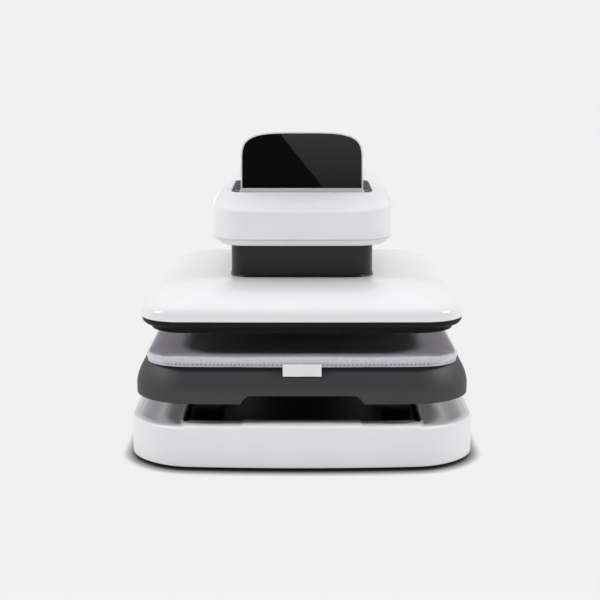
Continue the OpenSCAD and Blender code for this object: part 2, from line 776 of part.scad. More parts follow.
module column_front_cover() color(white) intersection() {
    column_tube();
    block([-column_w, column_w], [column_front - past, column_y - column_seam / 2], [0, head_top]);
}

module column_rear_cover() color(white) difference() {
    intersection() {
        column_tube();
        block([-column_w, column_w], [column_y + column_seam / 2, column_y + column_d], [0, head_top]);
    }
    block([inlet_x - inlet_w / 2 - slip, inlet_x + inlet_w / 2 + slip], [column_y, column_y + column_d],
          [inlet_z - inlet_h / 2 - slip, inlet_z + inlet_h / 2 + slip]);
    block([switch_x - switch_w / 2 - slip, switch_x + switch_w / 2 + slip], [column_y, column_y + column_d],
          [inlet_z - switch_h / 2 - slip, inlet_z + switch_h / 2 + slip]);
}

head_frame_x = head_w / 2 - frame_inset + past;

module head_frame() color(steel) difference() {
    union() {
        block([-head_frame_x, head_frame_x], [press_y - rod_y - frame_inset, column_front],
              [frame_z, frame_top]);
        block([-frame_half_w, frame_half_w], [column_front - past, frame_y[1]], [frame_z, frame_top]);
    }
    four(column_bolt_x, column_bolt_y, column_y) rod(bolt_r, [frame_z - past, frame_top + past]);
    four(rod_x, rod_y, press_y) rod(rod_r + fit, [frame_z - past, frame_top + past]);
}

// The top of the head is level at the back and falls towards its front edge
nose_power = 5;
function crown(y) = head_top - nose_drop * pow((head_back_y - y) / head_d, nose_power);
head_front_r = 46;
head_bow = 1.5;
head_points = both_sides([well_w / 6, well_w / 3]);
head_sides = [for (i = [-1.5:1:1.5]) i * head_d / 5];
// The head narrows in a straight line from front to back, and each end has an inset of its own
function head_outline(front, back, sides = []) =
    let (w = head_w - 2 * front, d = head_d - front - back,
         lost = 1 - (head_w * (1 - head_taper) - 2 * back) / w)
    [for (p = outline(w, d, head_front_r - front, head_bow, head_points, sides))
     [p.x * (1 - lost * (p.y / d + 0.5)), p.y + head_y + (front - back) / 2]];
function head_ring(inset) = head_outline(inset, inset, head_sides);
well_r = 14;
well_ahead = 22;
well_front = press_y - well_ahead;
well_y = well_front + well_l / 2;
function well_ring(grow) =
    [for (p = outline(well_w + 2 * grow, well_l + 2 * grow, well_r + grow, 0, head_points,
                      [for (i = [-1.5:1:1.5]) i * (well_l / 2 - well_r) / 2]))
     [p.x, p.y + well_y]];
function crowned(points, drop) = [for (p = points) [p.x, p.y, crown(p.y) - drop]];
edge_r = 5;
well_edge = 0.8;
well_land = 8;
well_depth = 11;
well_post_h = 5.5;
well_floor = frame_top + well_post_h;
well_rim_z = well_floor + well_depth;

module head_upper_shell() color(white) skin([
    at(head_ring(0), 0, seam_z),
    crowned(head_ring(0), edge_r),
    crowned(head_ring(edge_r * edge_mid), edge_r * edge_mid),
    crowned(head_ring(edge_r), 0),
    crowned(well_ring(well_land), 0),
    crowned(well_ring(well_edge), 0),
    crowned(well_ring(0), well_edge),
    at(well_ring(0), 0, well_rim_z),
    at(well_ring(wall), 0, well_rim_z),
    crowned(well_ring(well_land), wall + past),
    crowned(head_ring(edge_r + wall), wall + past),
    crowned(head_ring(wall), edge_r + wall),
    at(head_ring(wall), 0, seam_z)
], closed = true);

// The lower shell draws in under the head, most at the front and least over the column
head_chamfer = 11;
head_tuck = 5;
seam_in = 0.4;
seam_edge = 0.6;
function head_foot(inset) = head_outline(head_chamfer + inset, head_tuck + inset);
function head_seam(inset) = head_outline(seam_in + inset, seam_in + inset);

module head_lower_shell() color(white) difference() {
    skin([at(head_foot(0), 0, head_z), at(head_seam(0), 0, seam_z - seam_edge), at(head_seam(0), 0, seam_z)]);
    skin([at(head_foot(wall), 0, head_z + wall), at(head_seam(wall), 0, seam_z + past)]);
    slab(neck_w + 2 * loose, neck_d + 2 * loose, neck_r + loose, head_z - past, head_h, press_y);
    slab(column_hole_w, column_hole_d, column_hole_r, head_z - past, head_h, column_y);
}

// Screen

hinge_in = 8;
hinge_drop = 0.5;
hinge_y = well_front + hinge_in;
hinge_z = well_rim_z - hinge_drop;
barrel_r = 4.5;
barrel_over = 1.5;
barrel_half = screen_w / 2 + barrel_over;
pin_r = 2;
lug_t = 5;
lug_r = 4;
lug_gap = 1;
pin_in = 10;
pin_l = pin_in + barrel_over + lug_gap + lug_t;
well_post_r = 5;
well_post_in = 20;
well_floor_t = 2;

module screen_well() color(graphite) difference() {
    union() {
        difference() {
            slab(well_w + 2 * wall, well_l + 2 * wall, well_r + wall, well_floor - well_floor_t,
                 well_depth + well_floor_t, well_y);
            slab(well_w, well_l, well_r, well_floor, head_h, well_y);
        }
        both() block([barrel_half + lug_gap, barrel_half + lug_gap + lug_t], [hinge_y - lug_r, hinge_y + lug_r],
                     [well_floor - past, hinge_z + lug_r]);
        four(well_w / 2 - well_post_in, well_l / 2 - well_post_in, well_y)
            rod(well_post_r, [frame_top, well_floor]);
    }
    both() hinge_bore(pin_r);
}

module hinge_bore(r) translate([screen_w / 2 - pin_in, hinge_y, hinge_z]) rotate([0, 90, 0])
    cylinder(r = r, h = pin_l);

module screen_hinge_pins() color(bright) both() hinge_bore(pin_r);

module at_screen() translate([0, hinge_y, hinge_z]) rotate([screen_tilt, 0, 0]) children();

// Panel outline: straight sides under a crowned top with soft corners
top_power = 4;
top_rise = 43;
function panel(inset, low) =
    let (a = screen_w / 2 - inset, b = top_rise - inset, v = screen_l - top_rise)
    concat([[-a, low], [a, low]],
           [for (i = [0:24]) let (t = 180 * i / 24, c = cos(t), s = sin(t))
            [a * sign(c) * pow(abs(c), 2 / top_power), v + b * pow(abs(s), 2 / top_power)]]);
glass_t = 2;
glass_edge = 2;
glass_low = 6.6;
glass_ledge = 3;
screen_skin = 2;
board_gap = 0.5;
glass_gap = 0.1;

module screen_frame() color(white) at_screen() difference() {
    union() {
        translate([0, 0, -screen_t / 2]) linear_extrude(screen_t) polygon(panel(0, 0));
        translate([-barrel_half, 0, 0]) rotate([0, 90, 0]) cylinder(r = barrel_r, h = 2 * barrel_half);
    }
    translate([0, 0, screen_t / 2 - glass_t]) linear_extrude(screen_t) polygon(panel(glass_edge, glass_low));
    translate([0, 0, screen_skin - screen_t / 2]) linear_extrude(screen_t)
        polygon(panel(glass_edge + glass_ledge, glass_low + glass_ledge));
    both() translate([screen_w / 2 - pin_in - past, 0, 0]) rotate([0, 90, 0])
        cylinder(r = pin_r + fit, h = pin_l + past);
}

module screen_glass() color(black) at_screen() translate([0, 0, screen_t / 2 - glass_t])
    linear_extrude(glass_t) polygon(panel(glass_edge + glass_gap, glass_low + glass_gap));

module display_board() color(board_green) at_screen() translate([0, 0, screen_skin - screen_t / 2])
    linear_extrude(screen_t - glass_t - screen_skin - board_gap)
        polygon(panel(glass_edge + 2 * glass_ledge, glass_low + 2 * glass_ledge));

// Power inlet and switch on the back of the column

inlet_x = 20;
inlet_z = rim_z + 44;
inlet_w = 27;
inlet_h = 20;
inlet_l = 22;
inlet_mouth = 16;
switch_x = -20;
switch_w = 13;
switch_h = 19;
rocker_r = 8.2;
rocker_w = 9.4;
rocker_pin_r = 1.5;
pivot_in = 2;
pivot_y = back_y - pivot_in;
rocker_lean = 10;
flange_t = 2;
inlet_flange = 2.5;
inlet_wall = 1.5;
pin_places = [[-7, -2], [0, 2], [7, -2]];
pin_w = 2;
pin_h = 4;
pin_short = 4;
switch_flange = 1.5;
switch_l = 14;
rocker_back = 5;
rocker_front = 4.45;
rocker_dip = 3;

module power_inlet() color(black) difference() {
    union() {
        block([inlet_x - inlet_w / 2, inlet_x + inlet_w / 2], [back_y - inlet_l, back_y],
              [inlet_z - inlet_h / 2, inlet_z + inlet_h / 2]);
        block([inlet_x - inlet_w / 2 - inlet_flange, inlet_x + inlet_w / 2 + inlet_flange],
              [back_y, back_y + flange_t],
              [inlet_z - inlet_h / 2 - inlet_flange, inlet_z + inlet_h / 2 + inlet_flange]);
    }
    block([inlet_x - inlet_w / 2 + inlet_wall, inlet_x + inlet_w / 2 - inlet_wall],
          [back_y + flange_t - inlet_mouth, back_y + flange_t + past],
          [inlet_z - inlet_h / 2 + inlet_wall, inlet_z + inlet_h / 2 - inlet_wall]);
}

module inlet_pins() color(bright) for (p = pin_places)
    block([inlet_x + p.x - pin_w / 2, inlet_x + p.x + pin_w / 2],
          [back_y + flange_t - inlet_mouth, back_y + flange_t - pin_short],
          [inlet_z + p.y - pin_h / 2, inlet_z + p.y + pin_h / 2]);

module switch_bezel() color(black) difference() {
    union() {
        block([switch_x - switch_w / 2, switch_x + switch_w / 2], [back_y - switch_l, back_y],
              [inlet_z - switch_h / 2, inlet_z + switch_h / 2]);
        block([switch_x - switch_w / 2 - switch_flange, switch_x + switch_w / 2 + switch_flange],
              [back_y, back_y + flange_t],
              [inlet_z - switch_h / 2 - switch_flange, inlet_z + switch_h / 2 + switch_flange]);
    }
    block([switch_x - rocker_w / 2 - slip, switch_x + rocker_w / 2 + slip],
          [back_y - switch_l + flange_t, back_y + flange_t + past],
          [inlet_z - rocker_r - slip, inlet_z + rocker_r + slip]);
    rocker_axis() cylinder(r = rocker_pin_r + fit, h = switch_w - past, center = true);
}

module rocker_axis() translate([switch_x, pivot_y, inlet_z]) rotate([0, 90, 0]) children();

// The rocker's cross-section turns about its pin inside a round-backed block
module rocker_button() color("#b5302a") {
    translate([switch_x - rocker_w / 2, pivot_y, inlet_z]) rotate([rocker_lean, 0, 0]) rotate([90, 0, 90])
        linear_extrude(rocker_w) intersection() {
            circle(rocker_r);
            polygon([[-rocker_back, -rocker_r], [rocker_front, -rocker_r], [rocker_dip, 0],
                     [rocker_front, rocker_r], [-rocker_back, rocker_r]]);
        }
    rocker_axis() cylinder(r = rocker_pin_r, h = switch_w - 2 * past, center = true);
}

// Power board on the base sheet

board_x = 70;
board_y = 55;
board_back = 20;
board_at = press_y + board_back;
board_lift = 8;
board_t = 1.6;
board_z = sheet_z + board_lift;
board_top = board_z + board_t;
standoff_r = 3;
standoff_in = 6;
transformer = [30, 30, 16];
heat_sink = [40, 40, 12];
board_part_x = 35;
capacitor_r = 9;
capacitor_h = 18;

module board_standoffs() color(bright) four(board_x - standoff_in, board_y - standoff_in, board_at)
    rod(standoff_r, [sheet_z, board_z]);

module power_board() color(board_green) {
    block([-board_x, board_x], [board_at - board_y, board_at + board_y], [board_z, board_top]);
    on_board(-board_part_x, -board_back) component(transformer);
    on_board(board_part_x, 0) component(heat_sink);
    on_board(-board_part_x, board_back) rod(capacitor_r, [0, capacitor_h]);
}

module on_board(x, y) translate([x, board_at + y, board_top]) children();
module component(size) translate([-size.x / 2, -size.y / 2, 0]) cube(size);

base_shell();
base_plate();
channel_pan();
rubber_feet();
foot_screws();
rail_legs();
slide_outer_rails();
rail_screws();
column_frame();
column_front_cover();
column_rear_cover();
frame_bolts();
head_frame();
head_lower_shell();
head_upper_shell();
screen_well();
screen_hinge_pins();
guide_rods();
gearbox_housing();
drive_motor();
thrust_bearing();
power_inlet();
inlet_pins();
switch_bezel();
power_board();
board_standoffs();
limit_switch();
drawer_tray();
lower_platen();
press_pad();
pad_tag();
drawer_beams();
slide_inner_rails();
tray_screws();
ball_cages();
bearing_balls();
platen_cover();
platen_rim();
heat_plate();
heating_element();
insulation_board();
neck_sleeve();
ram_plate();
platen_posts();
guide_bushings();
drive_nut();
temperature_probe();
thermal_cutout();
platen_screws();
lead_screw();
screw_stop_ring();
screen_frame();
screen_glass();
display_board();
rocker_button();
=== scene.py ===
# %% [markdown]
# # Dressing a flat heat press
# The press is a white moulded base with a dark pull-out drawer, a soft pad on the drawer, and a glossy
# white upper platen that hangs from a dark neck under a white head. The frame holds every piece at its real
# size. This lesson gives the shells their smooth surfaces, the pad its stuffing, and every piece its
# finish.

# %% Load the frame
import json
import math

import bpy
import numpy as np
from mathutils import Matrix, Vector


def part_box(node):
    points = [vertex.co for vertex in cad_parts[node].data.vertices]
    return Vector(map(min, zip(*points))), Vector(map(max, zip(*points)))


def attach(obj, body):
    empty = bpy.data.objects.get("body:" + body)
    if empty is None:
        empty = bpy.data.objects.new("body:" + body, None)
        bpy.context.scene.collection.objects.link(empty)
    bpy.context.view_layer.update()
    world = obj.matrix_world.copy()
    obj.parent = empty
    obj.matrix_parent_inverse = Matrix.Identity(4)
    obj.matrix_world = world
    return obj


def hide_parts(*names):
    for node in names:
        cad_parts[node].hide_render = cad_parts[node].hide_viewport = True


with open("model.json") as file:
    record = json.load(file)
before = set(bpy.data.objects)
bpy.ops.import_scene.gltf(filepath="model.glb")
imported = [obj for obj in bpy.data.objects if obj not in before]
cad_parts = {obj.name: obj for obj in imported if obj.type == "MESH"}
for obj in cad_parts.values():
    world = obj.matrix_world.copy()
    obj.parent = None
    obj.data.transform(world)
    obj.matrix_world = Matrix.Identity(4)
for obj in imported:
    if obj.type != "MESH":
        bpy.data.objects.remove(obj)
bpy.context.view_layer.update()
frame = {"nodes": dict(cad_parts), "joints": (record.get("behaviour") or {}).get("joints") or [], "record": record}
MM = 0.001

# %% [markdown]
# Lathes and mills leave circles and flats, and moulds leave drafted, rounded shells. A shell like this is
# easiest to think of as a stack of outlines seen from above, each a rounded rectangle at its own height. A
# stack is a grid: one parameter goes round the outline and the other goes up the stack.

# %% Outlines and stacks
ARC_STEPS = 40
RUN_STEPS = 24


def outline(width, depth, radius, bow=0.0, front=None, side=None):
    """Rounded rectangle from above, anticlockwise, as rows of x and y. Four quarter circles are joined by
    straight runs with stations at the given x (front and back) and y (sides), or evenly spaced. Ahead of the
    front corners' centres the lead is cut by bow times the square of x over half the width, which bows the
    front edge."""
    across, along = width / 2 - radius, depth / 2 - radius
    even = np.linspace(-1.0, 1.0, RUN_STEPS + 2)[1:-1]
    front = even * across if front is None else np.asarray(front)
    side = even * along if side is None else np.asarray(side)
    turn = np.linspace(0.0, math.pi / 2, ARC_STEPS + 1)
    start = np.array([0, 1, 2, 3])[:, None] * math.pi / 2
    round_x, round_y = radius * np.cos(start + turn), radius * np.sin(start + turn)
    x = np.concatenate((np.full(side.size, width / 2), across + round_x[0], front[::-1], -across + round_x[1],
                        np.full(side.size, -width / 2), -across + round_x[2], front, across + round_x[3]))
    y = np.concatenate((side, along + round_y[0], np.full(front.size, depth / 2), along + round_y[1],
                        side[::-1], -along + round_y[2], np.full(front.size, -depth / 2), -along + round_y[3]))
    lead = np.clip(-along - y, 0.0, None) / radius
    return np.column_stack((x, y + lead * bow * (2 * x / width) ** 2))


def level(plan, height, y=0.0):
    """An outline lifted to a height, one number or one per point, and moved along y."""
    return np.column_stack((plan[:, 0], plan[:, 1] + y, np.broadcast_to(height, len(plan))))


def stack_faces(rows, columns, closed):
    """Quads between neighbouring rings of a stack, each ring joined to itself, facing out where the stack
    climbs. A closed stack also joins its last ring to its first; an open one is capped with its end rings."""
    place = np.arange(rows * columns).reshape(rows, columns)
    low = place if closed else place[:-1]
    high = np.roll(place, -1, axis=0) if closed else place[1:]
    quads = np.stack((low, np.roll(low, -1, 1), np.roll(high, -1, 1), high), axis=-1).reshape(-1, 4)
    caps = [] if closed else [place[0, ::-1].tolist(), place[-1].tolist()]
    return quads.tolist() + caps


def mesh_object(name, points, faces, crease=32.0):
    """A mesh object at the origin with smooth faces, creased where neighbours meet at more than an angle."""
    mesh = bpy.data.meshes.new(name)
    mesh.from_pydata(np.asarray(points).reshape(-1, 3).tolist(), [], faces)
    mesh.polygons.foreach_set("use_smooth", np.ones(len(mesh.polygons), bool))
    mesh.set_sharp_from_angle(angle=math.radians(crease))
    piece = bpy.data.objects.new(name, mesh)
    bpy.context.scene.collection.objects.link(piece)
    return piece


def shell(name, rings, closed=True, crease=32.0):
    """A piece from a stack of rings of equal length."""
    rings = np.array(rings)
    return mesh_object(name, rings, stack_faces(rings.shape[0], rings.shape[1], closed), crease)


def dress(piece, body, node, material):
    """Gives a new piece its body, the CAD node that it stands for, if any and its finish."""
    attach(piece, body)
    if node:
        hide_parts(node)
    piece.data.materials.append(material)
    print(piece.name, "rides on", body, "with", len(piece.data.polygons), "faces")


def size_of(node):
    """Low corner and high corner of a node's box, as arrays in metres."""
    return tuple(np.array(corner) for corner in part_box(node))


def quarter(steps):
    """Sine and cosine of even steps through a right angle."""
    turn = np.linspace(0.0, math.pi / 2, steps)
    return np.sin(turn), np.cos(turn)


def ease(value):
    """Smooth step: 0 below 0, 1 above 1, with level ends between."""
    share = np.clip(value, 0.0, 1.0)
    return share * share * (3 - 2 * share)


# %% [markdown]
# Every finish starts from a real material. Small functions do the repeated work: one turns an sRGB colour
# into the linear light that a shader needs, one adds a node with its values and links, and two begin and
# end a material.

# %% Colour and node helpers
def linear(code):
    """Linear RGBA of an sRGB hex colour: each channel through the sRGB curve."""
    share = np.array([int(code[i:i + 2], 16) for i in (1, 3, 5)]) / 255
    light = np.where(share <= 0.04045, share / 12.92, ((share + 0.055) / 1.055) ** 2.4)
    return (*light.tolist(), 1.0)


def add(tree, kind, values=None, **settings):
    """One node: settings are its own options, values fill its inputs, and a socket as a value is linked."""
    node = tree.nodes.new(kind)
    for name, value in settings.items():
        setattr(node, name, value)
    for name, value in (values or {}).items():
        if isinstance(value, bpy.types.NodeSocket):
            tree.links.new(value, node.inputs[name])
        else:
            node.inputs[name].default_value = value
    return node


def blank(name, **values):
    """A new material with its shader's fixed values, and the Object coordinates that patterns read."""
    material = bpy.data.materials.new(name)
    material.use_nodes = True
    tree = material.node_tree
    shader = tree.nodes["Principled BSDF"]
    for socket, value in values.items():
        shader.inputs[socket.replace("_", " ")].default_value = value
    place = add(tree, "ShaderNodeTexCoord").outputs["Object"]
    return material, tree, shader, place


def wire(tree, shader, colour, gloss, bump):
    """Links a colour, a gloss and a bump node to the shader's sockets for them."""
    tree.links.new(colour.outputs["Color"], shader.inputs["Base Color"])
    tree.links.new(gloss.outputs["Result"], shader.inputs["Roughness"])
    tree.links.new(bump.outputs["Normal"], shader.inputs["Normal"])


def per_mm(size):
    """Pattern scale for a feature of a size in millimetres, in coordinates that are in metres."""
    return 1.0 / (size * MM)


# %% [markdown]
# The white shells are ABS. The base, column and head come from a spark-eroded mould, so they have a fine
# satin grain, and the platen's cover comes from a polished one, so it has a gloss that shows the lights.
# The dark tray and neck are the same plastic dyed graphite. One function covers them, because only grain,
# gloss and dye differ.

# %% Moulded plastics
def moulded(name, dye, shade, roughness, grain, relief, **values):
    """Moulded plastic: grain in mm as bump, and broad soft patches that shift its gloss and its dye a
    little."""
    material, tree, shader, place = blank(name, **values)
    patch = add(tree, "ShaderNodeTexNoise", {"Vector": place, "Scale": per_mm(70.0), "Detail": 2.0}).outputs[0]
    fine = add(tree, "ShaderNodeTexNoise", {"Vector": place, "Scale": per_mm(grain), "Detail": 1.0}).outputs[0]
    colour = add(tree, "ShaderNodeMixRGB", {"Fac": patch, "Color1": linear(dye), "Color2": linear(shade)})
    gloss = add(tree, "ShaderNodeMapRange",
                {"Value": patch, "To Min": roughness * 0.86, "To Max": roughness * 1.14})
    bump = add(tree, "ShaderNodeBump", {"Height": fine, "Strength": relief, "Distance": 0.05 * MM})
    wire(tree, shader, colour, gloss, bump)
    return material


# Satin white: broad soft highlights, with a grain drawn at 1.2 mm, coarser than the real 0.2 mm so it shows.
white_abs = moulded("satin_white_abs", "#e6e6e8", "#e2e2e5", 0.42, 1.2, 0.12, IOR=1.53)
# Polished white: sharp highlights on a very slightly wavy skin, the sink of a large thin moulding.
gloss_abs = moulded("polished_white_abs", "#e3e3e5", "#e0e0e2", 0.19, 22.0, 0.05, IOR=1.53, Coat_Weight=0.35,
                    Coat_Roughness=0.13)
# Dyed graphite: a dark warm grey with a satin sheen at its round edges.
graphite_abs = moulded("satin_graphite_abs", "#322f32", "#2e2b2e", 0.56, 1.0, 0.16, IOR=1.53)
# The neck's graphite is smoother and darker, because it slides inside the head.
neck_abs = moulded("smooth_graphite_abs", "#181719", "#151416", 0.36, 2.4, 0.05, IOR=1.53,
                   Specular_IOR_Level=0.32)
# Black glass-filled nylon: matt, with the faint mottle of its fibres.
black_nylon = moulded("black_filled_nylon", "#100f10", "#0c0b0c", 0.50, 1.6, 0.22, IOR=1.53,
                      Specular_IOR_Level=0.15)
red_nylon = moulded("red_switch_nylon", "#b5302a", "#a92b26", 0.32, 1.4, 0.08, IOR=1.53)
foot_rubber = moulded("black_foot_rubber", "#1d1c1c", "#232222", 0.72, 0.9, 0.35, IOR=1.52)
print("plastics made")

# %% [markdown]
# Inside the shells are plain engineering metals: rolled sheet, ground steel rod, bronze bushes, cast and
# coated aluminium. Rolling and grinding leave fine lines along one way, so their grain is noise stretched
# along that way.

# %% Metals
def worked_metal(name, tint, shade, roughness, line, stretch, relief):
    """Metal with tool lines: noise a line wide in mm and drawn out along Y, which shifts tint, gloss and
    bump."""
    material, tree, shader, place = blank(name, Metallic=1.0)
    drawn = add(tree, "ShaderNodeMapping", {"Vector": place, "Scale": (1.0, 1.0 / stretch, 1.0)}).outputs[0]
    lines = add(tree, "ShaderNodeTexNoise", {"Vector": drawn, "Scale": per_mm(line), "Detail": 3.0}).outputs[0]
    colour = add(tree, "ShaderNodeMixRGB", {"Fac": lines, "Color1": linear(tint), "Color2": linear(shade)})
    gloss = add(tree, "ShaderNodeMapRange",
                {"Value": lines, "To Min": roughness * 0.8, "To Max": roughness * 1.2})
    bump = add(tree, "ShaderNodeBump", {"Height": lines, "Strength": relief, "Distance": 0.03 * MM})
    wire(tree, shader, colour, gloss, bump)
    return material


# Zinc-plated sheet: grey with soft rolling lines.
sheet_steel = worked_metal("zinc_plated_sheet", "#b3b6ba", "#989ba0", 0.42, 1.5, 30.0, 0.2)
# Ground rod and rolled slide steel: bright, fine lines.
bright_steel = worked_metal("ground_steel", "#d3d5d8", "#bfc2c6", 0.24, 0.8, 40.0, 0.15)
# Milled aluminium plate: pale and a little duller than steel.
milled_aluminium = worked_metal("milled_aluminium", "#d8d9da", "#c6c7c9", 0.34, 1.2, 20.0, 0.2)
# Sintered bronze: brown gold with an open grain instead of lines.
sintered_bronze = worked_metal("sintered_bronze", "#b88d55", "#9a7443", 0.46, 0.7, 1.0, 0.4)
# Drawn brass of the inlet's blades.
drawn_brass = worked_metal("nickelled_brass", "#d2c9a6", "#bcb18a", 0.26, 0.6, 20.0, 0.12)
print("metals made")

# %% [markdown]
# Coatings and boards: a baked black enamel on the legs and motor, the non-stick coat of the heat plate with
# its faint speckle, a green circuit board under its lacquer, and the pressed mica that keeps heat off the
# cover.

# %% Coatings and boards
def speckled(name, ground, fleck, roughness, spot, amount, relief, **values):
    """A ground colour with flecks: noise spots of a size in mm, sharpened to an amount, that also roughen
    it."""
    material, tree, shader, place = blank(name, **values)
    spots = add(tree, "ShaderNodeTexNoise", {"Vector": place, "Scale": per_mm(spot), "Detail": 2.0}).outputs[0]
    share = add(tree, "ShaderNodeMapRange",
                {"Value": spots, "From Min": 1 - amount, "From Max": 1.1 - amount / 2})
    colour = add(tree, "ShaderNodeMixRGB", {"Fac": share.outputs["Result"], "Color1": linear(ground),
                                            "Color2": linear(fleck)})
    gloss = add(tree, "ShaderNodeMapRange",
                {"Value": spots, "To Min": roughness * 0.8, "To Max": roughness * 1.25})
    bump = add(tree, "ShaderNodeBump", {"Height": spots, "Strength": relief, "Distance": 0.05 * MM})
    wire(tree, shader, colour, gloss, bump)
    return material


black_enamel = speckled("black_baked_enamel", "#39383b", "#414043", 0.38, 1.2, 0.5, 0.25, IOR=1.5)
nonstick_coat = speckled("nonstick_coated_aluminium", "#0a0a0a", "#171717", 0.50, 0.8, 0.45, 0.3, IOR=1.38,
                         Specular_IOR_Level=0.2)
circuit_board = speckled("lacquered_circuit_board", "#1f5b3c", "#2c7a4f", 0.30, 3.0, 0.5, 0.1, IOR=1.55)
mica_board = speckled("pressed_mica", "#cdbd9c", "#e9dfc6", 0.55, 5.0, 0.6, 0.3, IOR=1.58)
print("coatings made")

# %% [markdown]
# Many nodes are already right in shape, such as rails, screws and bushes. They only need a finish, and the
# record says which slot each one has, so a table of slots is enough to dress them all.

# %% Finish every node by its slot
finish_of = {
    "white_abs": white_abs, "white_gloss_abs": gloss_abs, "graphite_abs": graphite_abs,
    "black_nylon": black_nylon, "black_enamel": black_enamel, "foot_rubber": foot_rubber,
    "sheet_steel": sheet_steel, "plain_aluminium": milled_aluminium, "bright_steel": bright_steel,
    "inlet_brass": drawn_brass, "bronze": sintered_bronze, "coated_aluminium": nonstick_coat,
    "circuit_board": circuit_board, "mica_board": mica_board, "red_switch": red_nylon,
}
slot_of = {part["node"]: part["material_slot"] for part in frame["record"]["subparts"]}
for node, slot in slot_of.items():
    mesh = frame["nodes"][node].data
    mesh.materials.clear()
    mesh.materials.append(finish_of.get(slot, graphite_abs))
print("slots in use", sorted(set(slot_of.values())))

# %% [markdown]
# The base is one large white moulding: a rounded wall, a rim with a soft edge, lower side decks, and a
# channel with a thin ridge on each side. Its middle front is a little higher, with a shallow lip. The whole
# shell is one stack of rings that goes up the wall, over the rim, down to the deck, over the ridge and back
# under itself.

# %% Base shell
base_low, base_high = size_of("base_shell")
pan_low, pan_high = size_of("channel_pan")
BASE_W, BASE_D = (base_high - base_low)[:2]
BASE_R, BASE_BOW, WALL, RIM_W, RIM_SIDE = 78 * MM, 12 * MM, 3 * MM, 14 * MM, 9 * MM
RIM_Z, RIDGE_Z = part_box("column_front_cover")[0].z, base_high[2]
DECK_Z, RIDGE_T, PAN_SLIP = RIDGE_Z - 10 * MM, 3 * MM, 0.4 * MM
CHANNEL_W, CHANNEL_D = (pan_high - pan_low)[:2] + 2 * PAN_SLIP
CHANNEL_Y, CHANNEL_R, LIP_W = (pan_low[1] + pan_high[1]) / 2, 8 * MM, 150 * MM
lip_edge = np.linspace(-6, 6, 13) * MM
base_front = np.concatenate((np.linspace(-140, -86, 10) * MM, lip_edge - LIP_W / 2,
                             np.linspace(-64, 64, 25) * MM, lip_edge + LIP_W / 2,
                             np.linspace(86, 140, 10) * MM))
CHANNEL_BACK = pan_high[1] + PAN_SLIP
base_side = np.concatenate((np.linspace(-180, 135, 36) * MM, CHANNEL_BACK + np.array([-2.5, -0.5, 4, 20]) * MM))


def base_ring(inset):
    """The base's outline drawn in by an inset; its bow goes with the square of its width."""
    width = BASE_W - 2 * inset
    bow = BASE_BOW * (width / BASE_W) ** 2
    return outline(width, BASE_D - 2 * inset, BASE_R - inset, bow, base_front, base_side)


def deck_ring(inset, side=0.0):
    """The side decks' outline inside the rim, which is narrower at the sides than in front, drawn in by an
    inset and, at the sides, by more if given."""
    width, radius = BASE_W - 2 * (RIM_SIDE + inset + side), BASE_R - RIM_W - inset - side
    bow = BASE_BOW * (width / BASE_W) ** 2
    return outline(width, BASE_D - 2 * (RIM_W + inset), radius, bow, base_front, base_side)


def channel_ring(grow):
    """The channel's outline let out by an amount, with its own stations along the sides."""
    width, end = CHANNEL_W + 2 * grow, CHANNEL_D / 2 - CHANNEL_R
    bow = BASE_BOW * (width / BASE_W) ** 2
    plan = outline(width, CHANNEL_D + 2 * grow, CHANNEL_R + grow, bow, base_front,
                   np.clip(base_side - CHANNEL_Y, -end, end))
    return plan + np.array([0.0, CHANNEL_Y])


FRONT_STEP, FRONT_RISE, LIP_STEP, LIP_RISE, BACK_STEP = 4 * MM, 2 * MM, 6 * MM, 1.5 * MM, 3 * MM
RIDGE_RUN, RIDGE_FADE, RIDGE_FOOT, RIDGE_EDGE = 16 * MM, 12 * MM, 1.2 * MM, 1 * MM
rim_plan = deck_ring(0)
aside, in_front = np.abs(rim_plan[:, 0]), rim_plan[:, 1] < -BASE_D / 3
front_share = ease((CHANNEL_W / 2 + FRONT_STEP / 2 - aside) / FRONT_STEP) * in_front
lip_share = ease((LIP_W / 2 + LIP_STEP / 2 - aside) / LIP_STEP) * in_front
back_share = ease((rim_plan[:, 1] - CHANNEL_BACK + BACK_STEP) / BACK_STEP)
top_z = RIM_Z + FRONT_RISE * front_share + LIP_RISE * lip_share
raised = np.maximum(front_share, back_share)
deck_level = top_z * raised + DECK_Z * (1 - raised)
channel_plan = channel_ring(RIDGE_T)
ridge_end = ease((channel_plan[:, 1].min() + RIDGE_RUN - channel_plan[:, 1]) / RIDGE_FADE)
ridge_level = top_z * raised + (RIDGE_Z - (RIDGE_Z - RIM_Z) * ridge_end) * (1 - raised)
FOOT_EDGE, RIM_EDGE, INNER_EDGE, FILLET, FILLET_SIDE = 1.5 * MM, 3.2 * MM, 0.3 * MM, 6.2 * MM, 22 * MM
FOOT_IN = WALL + 1 * MM
rings = [level(base_ring(FOOT_IN), base_low[2])]
rings += [level(base_ring(FOOT_EDGE * (1 - s)), base_low[2] + FOOT_EDGE * (1 - c)) for s, c in zip(*quarter(6))]
rings += [level(base_ring(RIM_EDGE * (1 - c)), top_z - RIM_EDGE * (1 - s)) for s, c in zip(*quarter(9))]
rings += [level(deck_ring(-INNER_EDGE * (1 - s)), top_z - (1 - raised) * INNER_EDGE * (1 - c))
          for s, c in zip(*quarter(5))]
rings += [level(deck_ring(FILLET * share, FILLET_SIDE * share),
                deck_level + (1 - raised) * FILLET * (1 - ease(share))) for share in np.linspace(0.0, 1.0, 12)]
rings += [level(channel_ring(RIDGE_T + RIDGE_FOOT), deck_level),
          level(channel_ring(RIDGE_T), deck_level + (1 - raised) * RIDGE_FOOT)]
rings += [level(channel_ring(RIDGE_T - RIDGE_EDGE * (1 - c)), ridge_level - RIDGE_EDGE * (1 - s))
          for s, c in zip(*quarter(4))]
